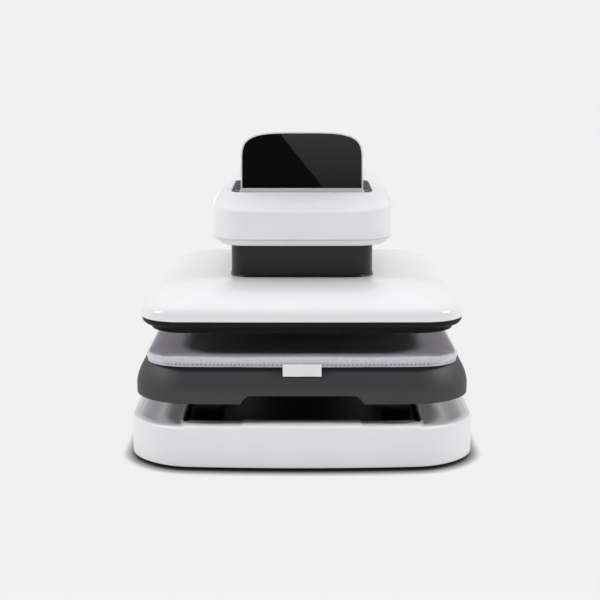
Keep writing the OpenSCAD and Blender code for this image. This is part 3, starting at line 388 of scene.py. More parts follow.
rings += [level(channel_ring(RIDGE_EDGE * (1 - s)), ridge_level - RIDGE_EDGE * (1 - c))
          for s, c in zip(*quarter(4))]
rings += [level(channel_ring(0), DECK_Z - WALL), level(base_ring(RIM_W), DECK_Z - WALL),
          level(base_ring(WALL), DECK_Z - WALL - RIM_W / 2)]
base_piece = shell("base_moulding", rings)
dress(base_piece, "chassis", "base_shell", white_abs)

# %% [markdown]
# The drawer tray is a deep graphite cap over the slides. Its sides draw in towards the top by a long soft
# shoulder, a superellipse with a power of one and a half, its front bows, and a shallow notch in its lower
# front edge leaves room for fingers. Two openings in its back let it pass over the slides' legs.

# %% Drawer tray
tray_low, tray_high = size_of("drawer_tray")
TRAY_W, TRAY_D, TRAY_H = tray_high - tray_low
TRAY_R, TRAY_BOW, TRAY_FOOT = 68 * MM, 8 * MM, 1.2 * MM
NOTCH_W, NOTCH_H, NOTCH_SLOPE, NOTCH_POWER = 153 * MM, 11 * MM, 10 * MM, 0.6
ROUND_W, ROUND_H, ROUND_POWER = 16 * MM, TRAY_H - NOTCH_H - 2 * TRAY_FOOT, 1.5
OPENING, OPENING_R = 347 * MM, 40 * MM
PRESS_Y = (tray_low[1] + tray_high[1]) / 2
notch_run = NOTCH_W / 2 - np.array([10.2, 9, 7.5, 6, 4.5, 3, 2, 1.2, 0.6, 0.2, -0.2]) * MM
tray_front = np.concatenate((np.linspace(-130, -84, 10) * MM, -notch_run[::-1], np.linspace(-60, 60, 21) * MM,
                             notch_run, np.linspace(84, 130, 10) * MM))


def tray_ring(inset):
    """The tray's outline drawn in by an inset."""
    return outline(TRAY_W - 2 * inset, TRAY_D - 2 * inset, TRAY_R - inset, TRAY_BOW, tray_front)


def shoulder(share, inset):
    """The tray's outline at a share of its shoulder, from foot to top: it draws in by one minus a
    superellipse."""
    drawn = ROUND_W * (1 - (1 - share ** ROUND_POWER) ** (1 / ROUND_POWER))
    return level(tray_ring(inset + drawn), tray_high[2] - inset - ROUND_H * (1 - share), PRESS_Y)


tray_plan = tray_ring(0)
notch_share = np.clip((NOTCH_W / 2 - np.abs(tray_plan[:, 0])) / NOTCH_SLOPE, 0, 1) ** NOTCH_POWER
notch_share = notch_share * (tray_plan[:, 1] < 0)
foot_z = tray_low[2] + NOTCH_H * notch_share
opening = outline(OPENING, OPENING, OPENING_R, 0.0, tray_front)
rings = [level(tray_ring(WALL), foot_z, PRESS_Y)]
rings += [level(tray_ring(TRAY_FOOT * (1 - s)), foot_z + TRAY_FOOT * (1 - c), PRESS_Y)
          for s, c in zip(*quarter(4))]
rings += [shoulder(share, 0.0) for share in 1 - np.linspace(1.0, 0.0, 22) ** 2]
rings += [level(opening, tray_high[2], PRESS_Y), level(opening, tray_high[2] - WALL, PRESS_Y)]
rings += [shoulder(share, WALL) for share in (1.0, 0.9, 0.75, 0.5, 0.2)]
tray_piece = shell("drawer_tray_moulding", rings)


def plug(name, width, depth, radius, middle, low, high):
    """A rounded block used to cut a hole, and then removed."""
    plan = outline(width, depth, radius) + np.array(middle)
    return shell(name, [level(plan, low), level(plan, high)], closed=False)


def cut_with(piece, cutters):
    """Cuts pieces out of a piece, and leaves the result as its mesh."""
    for cutter in cutters:
        change = piece.modifiers.new("Cut", "BOOLEAN")
        change.operation = "DIFFERENCE"
        change.solver = "EXACT"
        change.object = cutter
    graph = bpy.context.evaluated_depsgraph_get()
    cut = bpy.data.meshes.new_from_object(piece.evaluated_get(graph))
    piece.modifiers.clear()
    piece.data = cut
    for cutter in cutters:
        bpy.data.objects.remove(cutter)
    cut.polygons.foreach_set("use_smooth", np.ones(len(cut.polygons), bool))
    cut.set_sharp_from_angle(angle=math.radians(32))


LEG_ROOM_W, LEG_ROOM_X, LEG_ROOM_R, CUT_PAST = 62 * MM, 123 * MM, 2 * MM, 10 * MM
beam_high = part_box("drawer_beams")[1].z
cut_with(tray_piece, [plug(f"leg_room_{side}", LEG_ROOM_W, TRAY_D / 2, LEG_ROOM_R,
                           (side * LEG_ROOM_X, PRESS_Y + TRAY_D / 2), tray_low[2] - CUT_PAST, beam_high)
                      for side in (-1, 1)])
dress(tray_piece, "drawer", "drawer_tray", graphite_abs)

# %% [markdown]
# The upper platen's cover is a polished white pillow. It keeps a short upright band at its edge, then rolls
# over into a shallow dome that narrows to the neck. The rise is a superellipse with a power a little over
# two, which is full at the edge and nearly flat by the neck. The black rim under it turns in to the heat
# plate.

# %% Platen cover and rim
cover_low, cover_high = size_of("platen_cover")
rim_low, rim_high = size_of("platen_rim")
sleeve_low, sleeve_high = size_of("neck_sleeve")
plate_low, plate_high = size_of("heat_plate")
FLARE, FLARE_H, FLARE_FOOT = 1.5 * MM, 2.5 * MM, 0.6 * MM
NECK_W, NECK_D = (sleeve_high - sleeve_low)[:2] - 2 * FLARE
NECK_R, COVER_R, COVER_BOW, COVER_BAND = 28 * MM, 50 * MM, 2 * MM, 4 * MM
COVER_SIDE = cover_high[0] - cover_low[0]
COVER_H = cover_high[2] - cover_low[2]
HOLE_INSET, DOME_POWER, COVER_FOOT = 5 * MM, 2.2, 0.6 * MM


def cover_ring(share, inset=0.0):
    """The cover's outline at a share of the way from its edge (0) to the neck (1), drawn in by an inset."""
    width = COVER_SIDE + (NECK_W - COVER_SIDE) * share - 2 * inset
    depth = COVER_SIDE + (NECK_D - COVER_SIDE) * share - 2 * inset
    radius = COVER_R + (NECK_R - COVER_R) * math.sqrt(share) - inset
    return outline(width, depth, radius, COVER_BOW * (1 - share))


def dome(share):
    """Height over the cover's foot: the band, then a superellipse of the share left to the neck."""
    return COVER_BAND + (COVER_H - COVER_BAND) * (1 - (1 - share) ** DOME_POWER) ** (1 / DOME_POWER)


shares = np.linspace(0.0, 1.0, 55) ** 3
rings = [level(cover_ring(0, COVER_FOOT), cover_low[2], PRESS_Y),
         level(cover_ring(0), cover_low[2] + COVER_FOOT, PRESS_Y)]
rings += [level(cover_ring(share), cover_low[2] + dome(share), PRESS_Y) for share in shares]
rings += [level(cover_ring(1, HOLE_INSET), cover_high[2] - drop, PRESS_Y) for drop in (0.0, WALL)]
rings += [level(cover_ring(share, WALL), cover_low[2] + dome(share) - WALL / 2, PRESS_Y)
          for share in shares[-2::-6]]
rings += [level(cover_ring(0, WALL), cover_low[2], PRESS_Y)]
cover_piece = shell("platen_cover_moulding", rings)
dress(cover_piece, "upper_platen", "platen_cover", gloss_abs)

RIM_IN, RIM_TURN, PLATE_R, PLATE_SLIP = 1 * MM, 8 * MM, 46 * MM, 0.4 * MM
RIM_H = cover_low[2] - rim_low[2]
PLATE_SIDE = plate_high[0] - plate_low[0]


def rim_ring(inset, height):
    """The black rim's outline drawn in by an inset, at a height."""
    side = COVER_SIDE - 2 * inset
    return level(outline(side, side, COVER_R - inset, COVER_BOW), height, PRESS_Y)


bore = outline(PLATE_SIDE + 2 * PLATE_SLIP, PLATE_SIDE + 2 * PLATE_SLIP, PLATE_R + PLATE_SLIP)
turn_in = np.linspace(0.0, 1.0, 12)
rings = [level(bore, rim_high[2], PRESS_Y), level(bore, rim_low[2], PRESS_Y)]
rings += [rim_ring(RIM_IN + RIM_TURN * (1 - share ** 0.5) ** 1.6, rim_low[2] + RIM_H * share)
          for share in turn_in]
rings += [rim_ring(WALL + RIM_IN, cover_low[2]), rim_ring(WALL + RIM_IN, rim_high[2])]
rim_piece = shell("platen_rim_moulding", rings)
dress(rim_piece, "upper_platen", "platen_rim", black_nylon)

# %% [markdown]
# The neck is a plain rounded tube that slides up into the head, with a small flare where it lands on the
# cover. The flare is a quarter-ellipse fillet, so the neck seems to grow out of the cover.

# %% Neck sleeve
def neck_ring(grow, height):
    """The neck's outline let out by an amount, at a height."""
    plan = outline(NECK_W + 2 * grow, NECK_D + 2 * grow, NECK_R + grow)
    return level(plan, height, PRESS_Y)


rings = [neck_ring(FLARE, sleeve_low[2])]
rings += [neck_ring(FLARE * (1 - s), sleeve_low[2] + FLARE_FOOT + FLARE_H * (1 - c))
          for s, c in zip(*quarter(7))]
rings += [neck_ring(0, sleeve_high[2]), neck_ring(-WALL, sleeve_high[2]), neck_ring(-WALL, sleeve_low[2])]
neck_piece = shell("neck_sleeve_moulding", rings)
dress(neck_piece, "upper_platen", "neck_sleeve", neck_abs)

# %% [markdown]
# The head is two white shells that meet at a parting line: a lower one with a slanted skirt, and an upper
# one whose top falls away towards the front like a bonnet. The fall is a fifth power of the distance from
# the back, so most of the top is level. A shallow well for the folded screen is let into it.

# %% Head shells
upper_low, upper_high = size_of("head_upper_shell")
lower_low, lower_high = size_of("head_lower_shell")
well_low, well_high = size_of("screen_well")
HEAD_W, HEAD_D = 235 * MM, upper_high[1] - upper_low[1]
HEAD_R, HEAD_BOW, HEAD_TAPER, HEAD_EDGE = 46 * MM, 1.5 * MM, 0.1, 2.8 * MM
NOSE_DROP, FALL_POWER, HEAD_CHAMFER, HEAD_TUCK = 18.4 * MM, 5, 11 * MM, 5 * MM
WELL_W, WELL_L = (well_high - well_low)[:2] - 2 * WALL
HEAD_Y, WELL_Y = (upper_low[1] + upper_high[1]) / 2, (well_low[1] + well_high[1]) / 2
WELL_R, WELL_EDGE, WELL_RIM_Z = 14 * MM, 0.8 * MM, well_high[2] - 3.5 * MM
HEAD_FOOT, WELL_MARGIN, WELL_UNDER, UNDERSIDE = 0.5 * MM, 2 * MM, 8 * MM, WALL + 1 * MM


def head_ring(front, back=None):
    """The head's outline drawn in by an inset, with another at the back if given. It narrows in a straight
    line towards the back, where it has lost a tenth of its width before the inset."""
    back = front if back is None else back
    width, depth = HEAD_W - 2 * front, HEAD_D - front - back
    plan = outline(width, depth, HEAD_R - front, HEAD_BOW)
    lost = 1 - (HEAD_W * (1 - HEAD_TAPER) - 2 * back) / width
    narrow = 1 - lost * (plan[:, 1] / depth + 0.5)
    return np.column_stack((plan[:, 0] * narrow, plan[:, 1] + HEAD_Y + (front - back) / 2))


def well_ring(grow):
    """The screen well's outline let out by an amount."""
    return outline(WELL_W + 2 * grow, WELL_L + 2 * grow, WELL_R + grow) + np.array([0.0, WELL_Y])


def bonnet(plan, drop):
    """An outline laid on the head's top, or a drop below it."""
    fall = ((upper_high[1] - plan[:, 1]) / HEAD_D) ** FALL_POWER
    return level(plan, upper_high[2] - NOSE_DROP * fall - drop)


rings = [level(head_ring(HEAD_FOOT), upper_low[2]), level(head_ring(0), upper_low[2] + HEAD_FOOT)]
rings += [bonnet(head_ring(HEAD_EDGE * (1 - c)), HEAD_EDGE * (1 - s)) for s, c in zip(*quarter(9))]
inner, outer = well_ring(WELL_MARGIN), head_ring(HEAD_EDGE)
rings += [bonnet(outer + (inner - outer) * share, 0.0) for share in np.linspace(0.0, 1.0, 18)[1:]]
rings += [bonnet(well_ring(WELL_EDGE * (1 - s)), WELL_EDGE * (1 - c)) for s, c in zip(*quarter(4))]
rings += [level(well_ring(0), WELL_RIM_Z), level(well_ring(WALL), WELL_RIM_Z),
          bonnet(well_ring(WELL_UNDER), UNDERSIDE), bonnet(head_ring(HEAD_EDGE + WALL), UNDERSIDE),
          bonnet(head_ring(WALL), HEAD_EDGE + WALL), level(head_ring(WALL), upper_low[2])]
upper_piece = shell("head_upper_moulding", rings)
dress(upper_piece, "chassis", "head_upper_shell", white_abs)

# %% [markdown]
# The well is a dark tray of its own under the head's top. Its lining strip comes up to the rounded edge, so
# no white shows inside it. The strip is a thin closed wall: up the inner face, over, and down the outer
# one.

# %% Well lining
well_abs = moulded("satin_grey_abs", "#757377", "#6d6b6f", 0.45, 1.0, 0.16, IOR=1.53)
LINING, LINING_DROP, LINING_FOOT, LINING_GAP = 0.6 * MM, 0.9 * MM, 6 * MM, 0.02 * MM
frame["nodes"]["screen_well"].data.materials[0] = well_abs
inner_wall, outer_wall = well_ring(-LINING), well_ring(-LINING_GAP)
rings = [level(inner_wall, WELL_RIM_Z - LINING_FOOT), level(outer_wall, WELL_RIM_Z - LINING_FOOT),
         bonnet(outer_wall, LINING_DROP), bonnet(inner_wall, LINING_DROP)]
lining_piece = shell("screen_well_lining", rings)
dress(lining_piece, "chassis", None, well_abs)

# %% [markdown]
# The lower shell is a shallow tray with two holes, one for the neck and one for the column. The tray is a
# stack of rings, and the holes are cut from it with two plain rounded blocks. Its skirt slants in most at
# the front.

# %% Lower head shell
COLUMN_HOLE, COLUMN_HOLE_R = np.array([180, 84]) * MM, 20 * MM
NECK_PLAY, SEAM_IN, GROOVE = 2 * MM, 0.4 * MM, 1.8 * MM
column_mid = (size_of("column_front_cover")[0] + size_of("column_rear_cover")[1]) / 2
SEAM_Z, SEAM_LIP, SKIRT_EDGE = lower_high[2], 0.8 * MM, 0.8 * MM
SEAM_TURN, SEAM_TURN_H = 0.4 * MM, 0.6 * MM
rings = [level(head_ring(HEAD_CHAMFER + SKIRT_EDGE, HEAD_TUCK + SKIRT_EDGE), lower_low[2]),
         level(head_ring(HEAD_CHAMFER, HEAD_TUCK), lower_low[2] + SKIRT_EDGE / 2),
         level(head_ring(SEAM_IN + SEAM_TURN), SEAM_Z - SEAM_LIP - SEAM_TURN_H),
         level(head_ring(SEAM_IN), SEAM_Z - SEAM_LIP), level(head_ring(GROOVE), SEAM_Z - SEAM_LIP),
         level(head_ring(GROOVE), SEAM_Z), level(head_ring(GROOVE + WALL), SEAM_Z),
         level(head_ring(HEAD_CHAMFER + WALL, HEAD_TUCK + WALL), lower_low[2] + WALL)]
lower_piece = shell("head_lower_moulding", rings, closed=False)
cut_with(lower_piece, [
    plug("neck_plug", NECK_W + 2 * NECK_PLAY, NECK_D + 2 * NECK_PLAY, NECK_R + NECK_PLAY, (0.0, PRESS_Y),
         lower_low[2] - CUT_PAST, SEAM_Z + CUT_PAST),
    plug("column_plug", *COLUMN_HOLE, COLUMN_HOLE_R, (0.0, column_mid[1]), lower_low[2] - CUT_PAST,
         SEAM_Z + CUT_PAST)])
dress(lower_piece, "chassis", "head_lower_shell", white_abs)

# %% [markdown]
# The screen is a slim white frame round a sheet of black glass, with its lower end rounded into the hinge
# barrel. Its top is a superellipse, the curve between an ellipse and a box, so the corners are soft and the
# top crowned. It is worked out flat and then tipped up about the hinge by its angle.

# %% Screen frame and glass
frame_low, frame_high = size_of("screen_frame")
SCREEN_TILT, SCREEN_T, SCREEN_L, TOP_RISE, TOP_POWER = math.radians(78), 8.6 * MM, 83 * MM, 43 * MM, 4
BARREL_R, BARREL_OVER = 4.5 * MM, 1.5 * MM
SCREEN_W = frame_high[0] - frame_low[0] - 2 * BARREL_OVER
GLASS_EDGE, GLASS_LOW, GLASS_T, LEDGE, SKIN = 2 * MM, 6.6 * MM, 2 * MM, 3 * MM, 2 * MM
hinge = np.array(next(j for j in frame["joints"] if j["child"] == "screen")["pos_m"])
arch = np.linspace(0.0, math.pi, 121)
FOOT_STEPS, SIDE_STEPS = 24, 8


def tipped(x, along, proud):
    """Points given across, along and proud of the screen, turned up about the hinge."""
    return np.column_stack((x, hinge[1] + along * math.cos(SCREEN_TILT) - proud * math.sin(SCREEN_TILT),
                            hinge[2] + along * math.sin(SCREEN_TILT) + proud * math.cos(SCREEN_TILT)))


def panel(inset, low, proud):
    """Panel outline drawn in by an inset: a straight foot and sides under the upper half of a
    superellipse."""
    half, rise, spring = SCREEN_W / 2 - inset, TOP_RISE - inset, SCREEN_L - TOP_RISE
    foot, side = np.linspace(-1, 1, FOOT_STEPS), np.linspace(0.05, 0.95, SIDE_STEPS)
    cos, sin = np.cos(arch), np.sin(arch)
    x = np.concatenate((half * foot, np.full(SIDE_STEPS, half),
                        half * np.sign(cos) * np.abs(cos) ** (2 / TOP_POWER), np.full(SIDE_STEPS, -half)))
    along = np.concatenate((np.full(FOOT_STEPS, low), low + (spring - low) * side,
                            spring + rise * sin ** (2 / TOP_POWER), low + (spring - low) * side[::-1]))
    return tipped(x, along, proud)


def barrel_low(proud):
    """How far the round lower end reaches below the hinge line, at a height from the screen's middle
    plane."""
    return -math.sqrt(BARREL_R ** 2 - proud ** 2)


BACK_ROUND, FRONT_ROUND, HALF_T, GLASS_LIP = 1.4 * MM, 0.7 * MM, SCREEN_T / 2, 0.2 * MM
edge = [(BACK_ROUND * (1 - s), BACK_ROUND * (1 - c) - HALF_T) for s, c in zip(*quarter(5))]
edge += [(0.0, proud) for proud in np.linspace(-2.5, 3.2, 7) * MM]
edge += [(FRONT_ROUND * (1 - c), HALF_T - FRONT_ROUND * (1 - s)) for s, c in zip(*quarter(5))]
rings = [panel(inset, barrel_low(proud), proud) for inset, proud in edge]
rings += [panel(GLASS_EDGE - GLASS_LIP, GLASS_LOW - GLASS_LIP, HALF_T),
          panel(GLASS_EDGE, GLASS_LOW, HALF_T - GLASS_LIP),
          panel(GLASS_EDGE, GLASS_LOW, HALF_T - GLASS_T),
          panel(GLASS_EDGE + LEDGE, GLASS_LOW + LEDGE, HALF_T - GLASS_T),
          panel(GLASS_EDGE + LEDGE, GLASS_LOW + LEDGE, SKIN - HALF_T)]
screen_piece = shell("screen_frame_moulding", rings, closed=False)
dress(screen_piece, "screen", "screen_frame", white_abs)

BARREL_EDGE, BARREL_STEPS = 0.5 * MM, 48
spin = np.arange(BARREL_STEPS)[:, None] * 2 * math.pi / BARREL_STEPS
half_barrel = SCREEN_W / 2 + BARREL_OVER
ends = [(half_barrel - BARREL_EDGE * (1 - s), BARREL_R - BARREL_EDGE * (1 - c)) for s, c in zip(*quarter(5))]
stations = [(-x, radius) for x, radius in ends[::-1]] + ends
rings = [np.hstack((np.full((BARREL_STEPS, 1), x), hinge[1] + radius * np.cos(spin),
                    hinge[2] + radius * np.sin(spin))) for x, radius in stations]
barrel_piece = shell("screen_hinge_barrel", rings, closed=False)
dress(barrel_piece, "screen", None, white_abs)

GLASS_GAP, GLASS_BEVEL = 0.1 * MM, 0.3 * MM
GLASS_IN, GLASS_FOOT = GLASS_EDGE + GLASS_GAP, GLASS_LOW + GLASS_GAP
rings = [panel(GLASS_IN, GLASS_FOOT, HALF_T - GLASS_T), panel(GLASS_IN, GLASS_FOOT, HALF_T - GLASS_BEVEL),
         panel(GLASS_IN + GLASS_BEVEL, GLASS_FOOT + GLASS_BEVEL, HALF_T)]
glass_piece = shell("touch_glass", rings, closed=False)

# %% [markdown]
# Cover glass is clear, and black ink behind it hides the display when that is off. What the eye sees is
# black with a clean mirror on top, so a near-black ground under a smooth coat does the work. Faint wipe
# marks vary the gloss.

# %% Black screen glass
screen_glass, tree, shader, place = blank("inked_cover_glass", IOR=1.52)
wipe = add(tree, "ShaderNodeTexNoise", {"Vector": place, "Scale": per_mm(35.0), "Detail": 3.0}).outputs[0]
smear = add(tree, "ShaderNodeMapRange", {"Value": wipe, "To Min": 0.008, "To Max": 0.02})
ink = add(tree, "ShaderNodeMixRGB", {"Fac": wipe, "Color1": linear("#0a0a0b"), "Color2": linear("#0d0d0e")})
tree.links.new(smear.outputs["Result"], shader.inputs["Roughness"])
tree.links.new(ink.outputs["Color"], shader.inputs["Base Color"])
dress(glass_piece, "screen", "screen_glass", screen_glass)

# %% [markdown]
# The press pad is silicone foam in a fabric jacket: a dark woven top, and a pale knitted band round its
# side with a row of stitches near the tray. Cloth with a little air pressure gives it the full, taut look
# of a stuffed pad. The start is a plain slab, a bit smaller than the pad, and its underside is pinned
# because the platen holds it flat.

# %% Pad slab before it is filled
pad_low, pad_high = size_of("press_pad")
PAD_W, PAD_T = pad_high[0] - pad_low[0], pad_high[2] - pad_low[2]
PAD_R, PAD_BOW, PAD_START = 46 * MM, 5 * MM, 1.2 * MM
slab_edge = np.array([[2.6, 0.0], [0.6, 0.8], [0.0, 3.0], [0.0, 9.5], [0.5, 11.6], [1.8, 12.9], [4.5, 13.3],
                      [30, 13.5], [90, 13.6], [150, 13.6]]) * MM


def pad_ring(inset):
    """The pad's outline drawn in by an inset."""
    side = PAD_W - 2 * inset
    return outline(side, side, max(PAD_R - inset / 2, 10 * MM), PAD_BOW)


rings = [level(pad_ring(PAD_START + inset), pad_low[2] + height, PRESS_Y) for inset, height in slab_edge]
pad_piece = shell("press_pad_jacket", rings, closed=False)
print("pad slab", [round(v / MM, 1) for v in pad_high - pad_low])

# %% [markdown]
# A voxel remesh turns the slab into an even net of small quads, which cloth needs. Before it moves, each
# point notes how far in from the outline it is, because seams and cloths are laid out by that. The cloth
# then swells for twenty frames, and no point may move further than a cap.

# %% Fill the pad
VOXEL, PRESSURE, CAP, FRAMES, PIN_H = 4 * MM, 3.0, 1.5 * MM, 20, 1.5 * MM


def baked(piece):
    """Makes what a piece's modifiers show into its mesh."""
    graph = bpy.context.evaluated_depsgraph_get()
    mesh = bpy.data.meshes.new_from_object(piece.evaluated_get(graph))
    piece.modifiers.clear()
    piece.data = mesh


def spots(mesh):
    """A mesh's points as rows."""
    flat = np.zeros(len(mesh.vertices) * 3)
    mesh.vertices.foreach_get("co", flat)
    return flat.reshape(-1, 3)


def from_outline(xy):
    """How far in from the slab's outline each point is. Ahead of the front corners' centres the bow is taken
    out by its own rule turned round, and what is left is the distance to a rounded square."""
    half, radius = PAD_W / 2 - PAD_START, PAD_R - PAD_START / 2
    along = half - radius
    cut = PAD_BOW * (xy[:, 0] / half) ** 2 / radius
    y = np.where(xy[:, 1] < -along, (xy[:, 1] + along * cut) / (1 - cut), xy[:, 1])
    beyond = np.abs(np.column_stack((xy[:, 0], y))) - along
    return radius - np.linalg.norm(np.maximum(beyond, 0.0), axis=1) - np.minimum(beyond.max(axis=1), 0.0)


remesh = pad_piece.modifiers.new("Remesh", "REMESH")
remesh.mode = "VOXEL"
remesh.voxel_size = VOXEL
baked(pad_piece)
rest = spots(pad_piece.data)
edge_note = pad_piece.data.attributes.new("from_edge", "FLOAT", "POINT")
edge_note.data.foreach_set("value", from_outline(rest[:, :2] - np.array([0.0, PRESS_Y])))
pinned = pad_piece.vertex_groups.new(name="resting")
pinned.add(np.nonzero(rest[:, 2] < pad_low[2] + PIN_H)[0].tolist(), 1.0, "REPLACE")
cloth = pad_piece.modifiers.new("Cloth", "CLOTH")
cloth.settings.use_pressure = True
cloth.settings.uniform_pressure_force = PRESSURE
cloth.settings.effector_weights.gravity = 0.0
cloth.settings.vertex_group_mass = "resting"
for step in range(1, FRAMES + 1):
    bpy.context.scene.frame_set(step)
graph = bpy.context.evaluated_depsgraph_get()
moved = spots(pad_piece.evaluated_get(graph).data) - rest
far = np.maximum(np.linalg.norm(moved, axis=1, keepdims=True), 1e-9)
pad_piece.modifiers.clear()
pad_piece.vertex_groups.clear()
bpy.context.scene.frame_set(1)
rest = rest + moved * np.minimum(1.0, CAP / far)
print("pad points", len(rest), "moved up to", round(float(far.max()) / MM, 2), "mm")

# %% [markdown]
# The filled pad is eased back to its real width, and its crown is pressed to its real height, because the
# platen above closes to half a millimetre over it. The band's lower edge hangs a little over the tray's
# shoulder, by how near each point is to the outline, and a shallow crease is pressed in where the stitches
# draw the band to the foam.

# %% Trim the pad and press in its seam
SEAM_UP, SEAM_WIDE, SEAM_DEEP, DROOP, CROWN = 3.2 * MM, 1.6 * MM, 0.7 * MM, 1.2 * MM, 0.8 * MM
EDGE_REACH, EDGE_FADE = 16 * MM, 12 * MM
grown = rest - np.array([0.0, PRESS_Y, pad_low[2]])
grown[:, :2] *= PAD_W / 2 / np.abs(grown[:, :2]).max(axis=0)
over = grown[:, 2] - (PAD_T - CROWN)
grown[:, 2] = np.maximum(grown[:, 2] + np.maximum(over, 0.0) * (CROWN / max(over.max(), CROWN) - 1), 0.0)
pad_piece.data.vertices.foreach_set("co", grown.ravel())
finer = pad_piece.modifiers.new("Subdivision", "SUBSURF")
finer.levels = 1
finer.render_levels = 1
baked(pad_piece)
grown = spots(pad_piece.data)
inset = np.zeros(len(grown))
pad_piece.data.attributes["from_edge"].data.foreach_get("value", inset)
edge_share = ease((EDGE_REACH - inset) / EDGE_FADE)
grown[:, 2] -= DROOP * edge_share * (1 - grown[:, 2] / PAD_T)
crease = SEAM_DEEP * edge_share * np.exp(-((grown[:, 2] - SEAM_UP) / SEAM_WIDE) ** 2)
grown[:, :2] *= 1 - crease[:, None] / (PAD_W / 2)
settled = grown + np.array([0.0, PRESS_Y, pad_low[2]])
pad_piece.data.vertices.foreach_set("co", settled.ravel())
pad_piece.data.polygons.foreach_set("use_smooth", np.ones(len(pad_piece.data.polygons), bool))
print("pad is", [round(v / MM, 1) for v in np.ptp(settled, axis=0)], "mm")

# %% [markdown]
# The jacket is two cloths. The top is a tight plain weave: threads over and under, drawn here as two
# crossed waves. The band is a fine knit with rows along the edge. The pad's note of how far in each point
# was tells the two apart. Threads and rows are drawn at about twice their real width so that they show.

# %% Pad cloth
BAND_IN, BAND_FADE, THREAD, ROW = 3.4 * MM, 0.4 * MM, 2.2, 3.0
WAVE_STEP = math.pi / 10
soft_ridges = {"Distortion": 0.6, "Detail": 1.0, "Detail Scale": 2.0}
pad_cloth, tree, shader, place = blank("woven_silicone_jacket", IOR=1.45, Specular_IOR_Level=0.1,
                                       Sheen_Weight=0.08, Sheen_Roughness=0.5)
from_edge = add(tree, "ShaderNodeAttribute", attribute_name="from_edge").outputs["Fac"]
on_top = add(tree, "ShaderNodeMapRange", {"Value": from_edge, "From Min": BAND_IN,
                                          "From Max": BAND_IN + BAND_FADE}).outputs["Result"]
top_threads = {**soft_ridges, "Vector": place, "Scale": WAVE_STEP * per_mm(THREAD)}
band_threads = {**soft_ridges, "Vector": place, "Scale": WAVE_STEP * per_mm(ROW)}
warp = add(tree, "ShaderNodeTexWave", top_threads, bands_direction="X").outputs["Fac"]
weft = add(tree, "ShaderNodeTexWave", top_threads, bands_direction="Y").outputs["Fac"]
course = add(tree, "ShaderNodeTexWave", band_threads, bands_direction="Z").outputs["Fac"]
wale = add(tree, "ShaderNodeTexWave", band_threads, bands_direction="X").outputs["Fac"]
weave = add(tree, "ShaderNodeMath", {0: warp, 1: weft}, operation="MULTIPLY").outputs[0]
knit = add(tree, "ShaderNodeMath", {0: course, 1: wale}, operation="ADD").outputs[0]
fluff = add(tree, "ShaderNodeTexNoise", {"Vector": place, "Scale": per_mm(3.0), "Detail": 3.0}).outputs[0]
top_tint = add(tree, "ShaderNodeMixRGB",
               {"Fac": weave, "Color1": linear("#9a979f"), "Color2": linear("#a9a6ae")})
band_tint = add(tree, "ShaderNodeMixRGB",
                {"Fac": fluff, "Color1": linear("#b4b3bf"), "Color2": linear("#d6d5de")})
tint = add(tree, "ShaderNodeMixRGB", {"Fac": on_top, "Color1": band_tint.outputs["Color"],
                                      "Color2": top_tint.outputs["Color"]})
threads = add(tree, "ShaderNodeMixRGB", {"Fac": on_top, "Color1": knit, "Color2": weave})
bump = add(tree, "ShaderNodeBump", {"Height": threads.outputs["Color"], "Strength": 0.5, "Distance": 0.3 * MM})
gloss = add(tree, "ShaderNodeMapRange", {"Value": weave, "To Min": 0.62, "To Max": 0.8})
wire(tree, shader, tint, gloss, bump)
dress(pad_piece, "drawer", "press_pad", pad_cloth)

# %% [markdown]
# The stitches are short lengths of dark thread along the band. One stitch is a small six-sided bead, and
# the whole row is that bead repeated at even steps round the pad's outline, turned to follow it.

# %% Pad stitching
STITCH_STEP, STITCH_L, THREAD_R, SIDES = 5.2 * MM, 3.6 * MM, 0.42 * MM, 6
STITCH_PROUD, STITCH_SLANT = 0.1 * MM, 0.12
path = pad_ring(SEAM_DEEP - STITCH_PROUD)
ahead = np.roll(path, -1, axis=0) - path
run = np.concatenate(([0.0], np.cumsum(np.linalg.norm(ahead, axis=1))))
count = int(run[-1] / STITCH_STEP)
at_run = (np.arange(count) + 0.5) * run[-1] / count
loop = np.vstack((path, path[:1]))
middle = np.column_stack([np.interp(at_run, run, loop[:, axis]) for axis in (0, 1)])
after = np.column_stack([np.interp((at_run + 1 * MM) % run[-1], run, loop[:, axis]) for axis in (0, 1)])
way = (after - middle) / np.linalg.norm(after - middle, axis=1, keepdims=True)
out = np.column_stack((way[:, 1], -way[:, 0]))
lengths, girths = np.array([-0.5, -0.36, 0.36, 0.5]) * STITCH_L, np.array([0.3, 1.0, 1.0, 0.3]) * THREAD_R
spin = np.arange(SIDES) * 2 * math.pi / SIDES
bead_along = np.repeat(lengths, SIDES)
bead_out = np.outer(girths, np.cos(spin)).ravel()
bead_up = np.outer(girths, np.sin(spin)).ravel()
tilt = STITCH_SLANT * bead_along
xy = middle[:, None] + way[:, None] * bead_along[:, None] + out[:, None] * bead_out[:, None]
z = np.broadcast_to(pad_low[2] + SEAM_UP + bead_up + tilt, xy.shape[:2])
points = np.concatenate((xy + np.array([0.0, PRESS_Y]), z[..., None]), axis=2)
bead_faces = stack_faces(4, SIDES, closed=False)
first = (np.arange(count) * 4 * SIDES)[:, None, None]
faces = (np.array(bead_faces[:-2]) + first).reshape(-1, 4).tolist()
faces += (np.array(bead_faces[-2:]) + first).reshape(-1, SIDES).tolist()
stitch_piece = mesh_object("pad_stitching", points, faces, crease=80)
stitch_thread = moulded("bonded_polyester_thread", "#4d4b52", "#3f3d43", 0.55, 0.6, 0.3)
dress(stitch_piece, "drawer", None, stitch_thread)
print("stitches", count)

# %% [markdown]
# A blank white tape tab is sewn under the pad's front edge. It is a flat strip carried along a path:
# forward from under the pad, up to a tight fold, and down in front of the tray, with a slight wave at its
# free end.

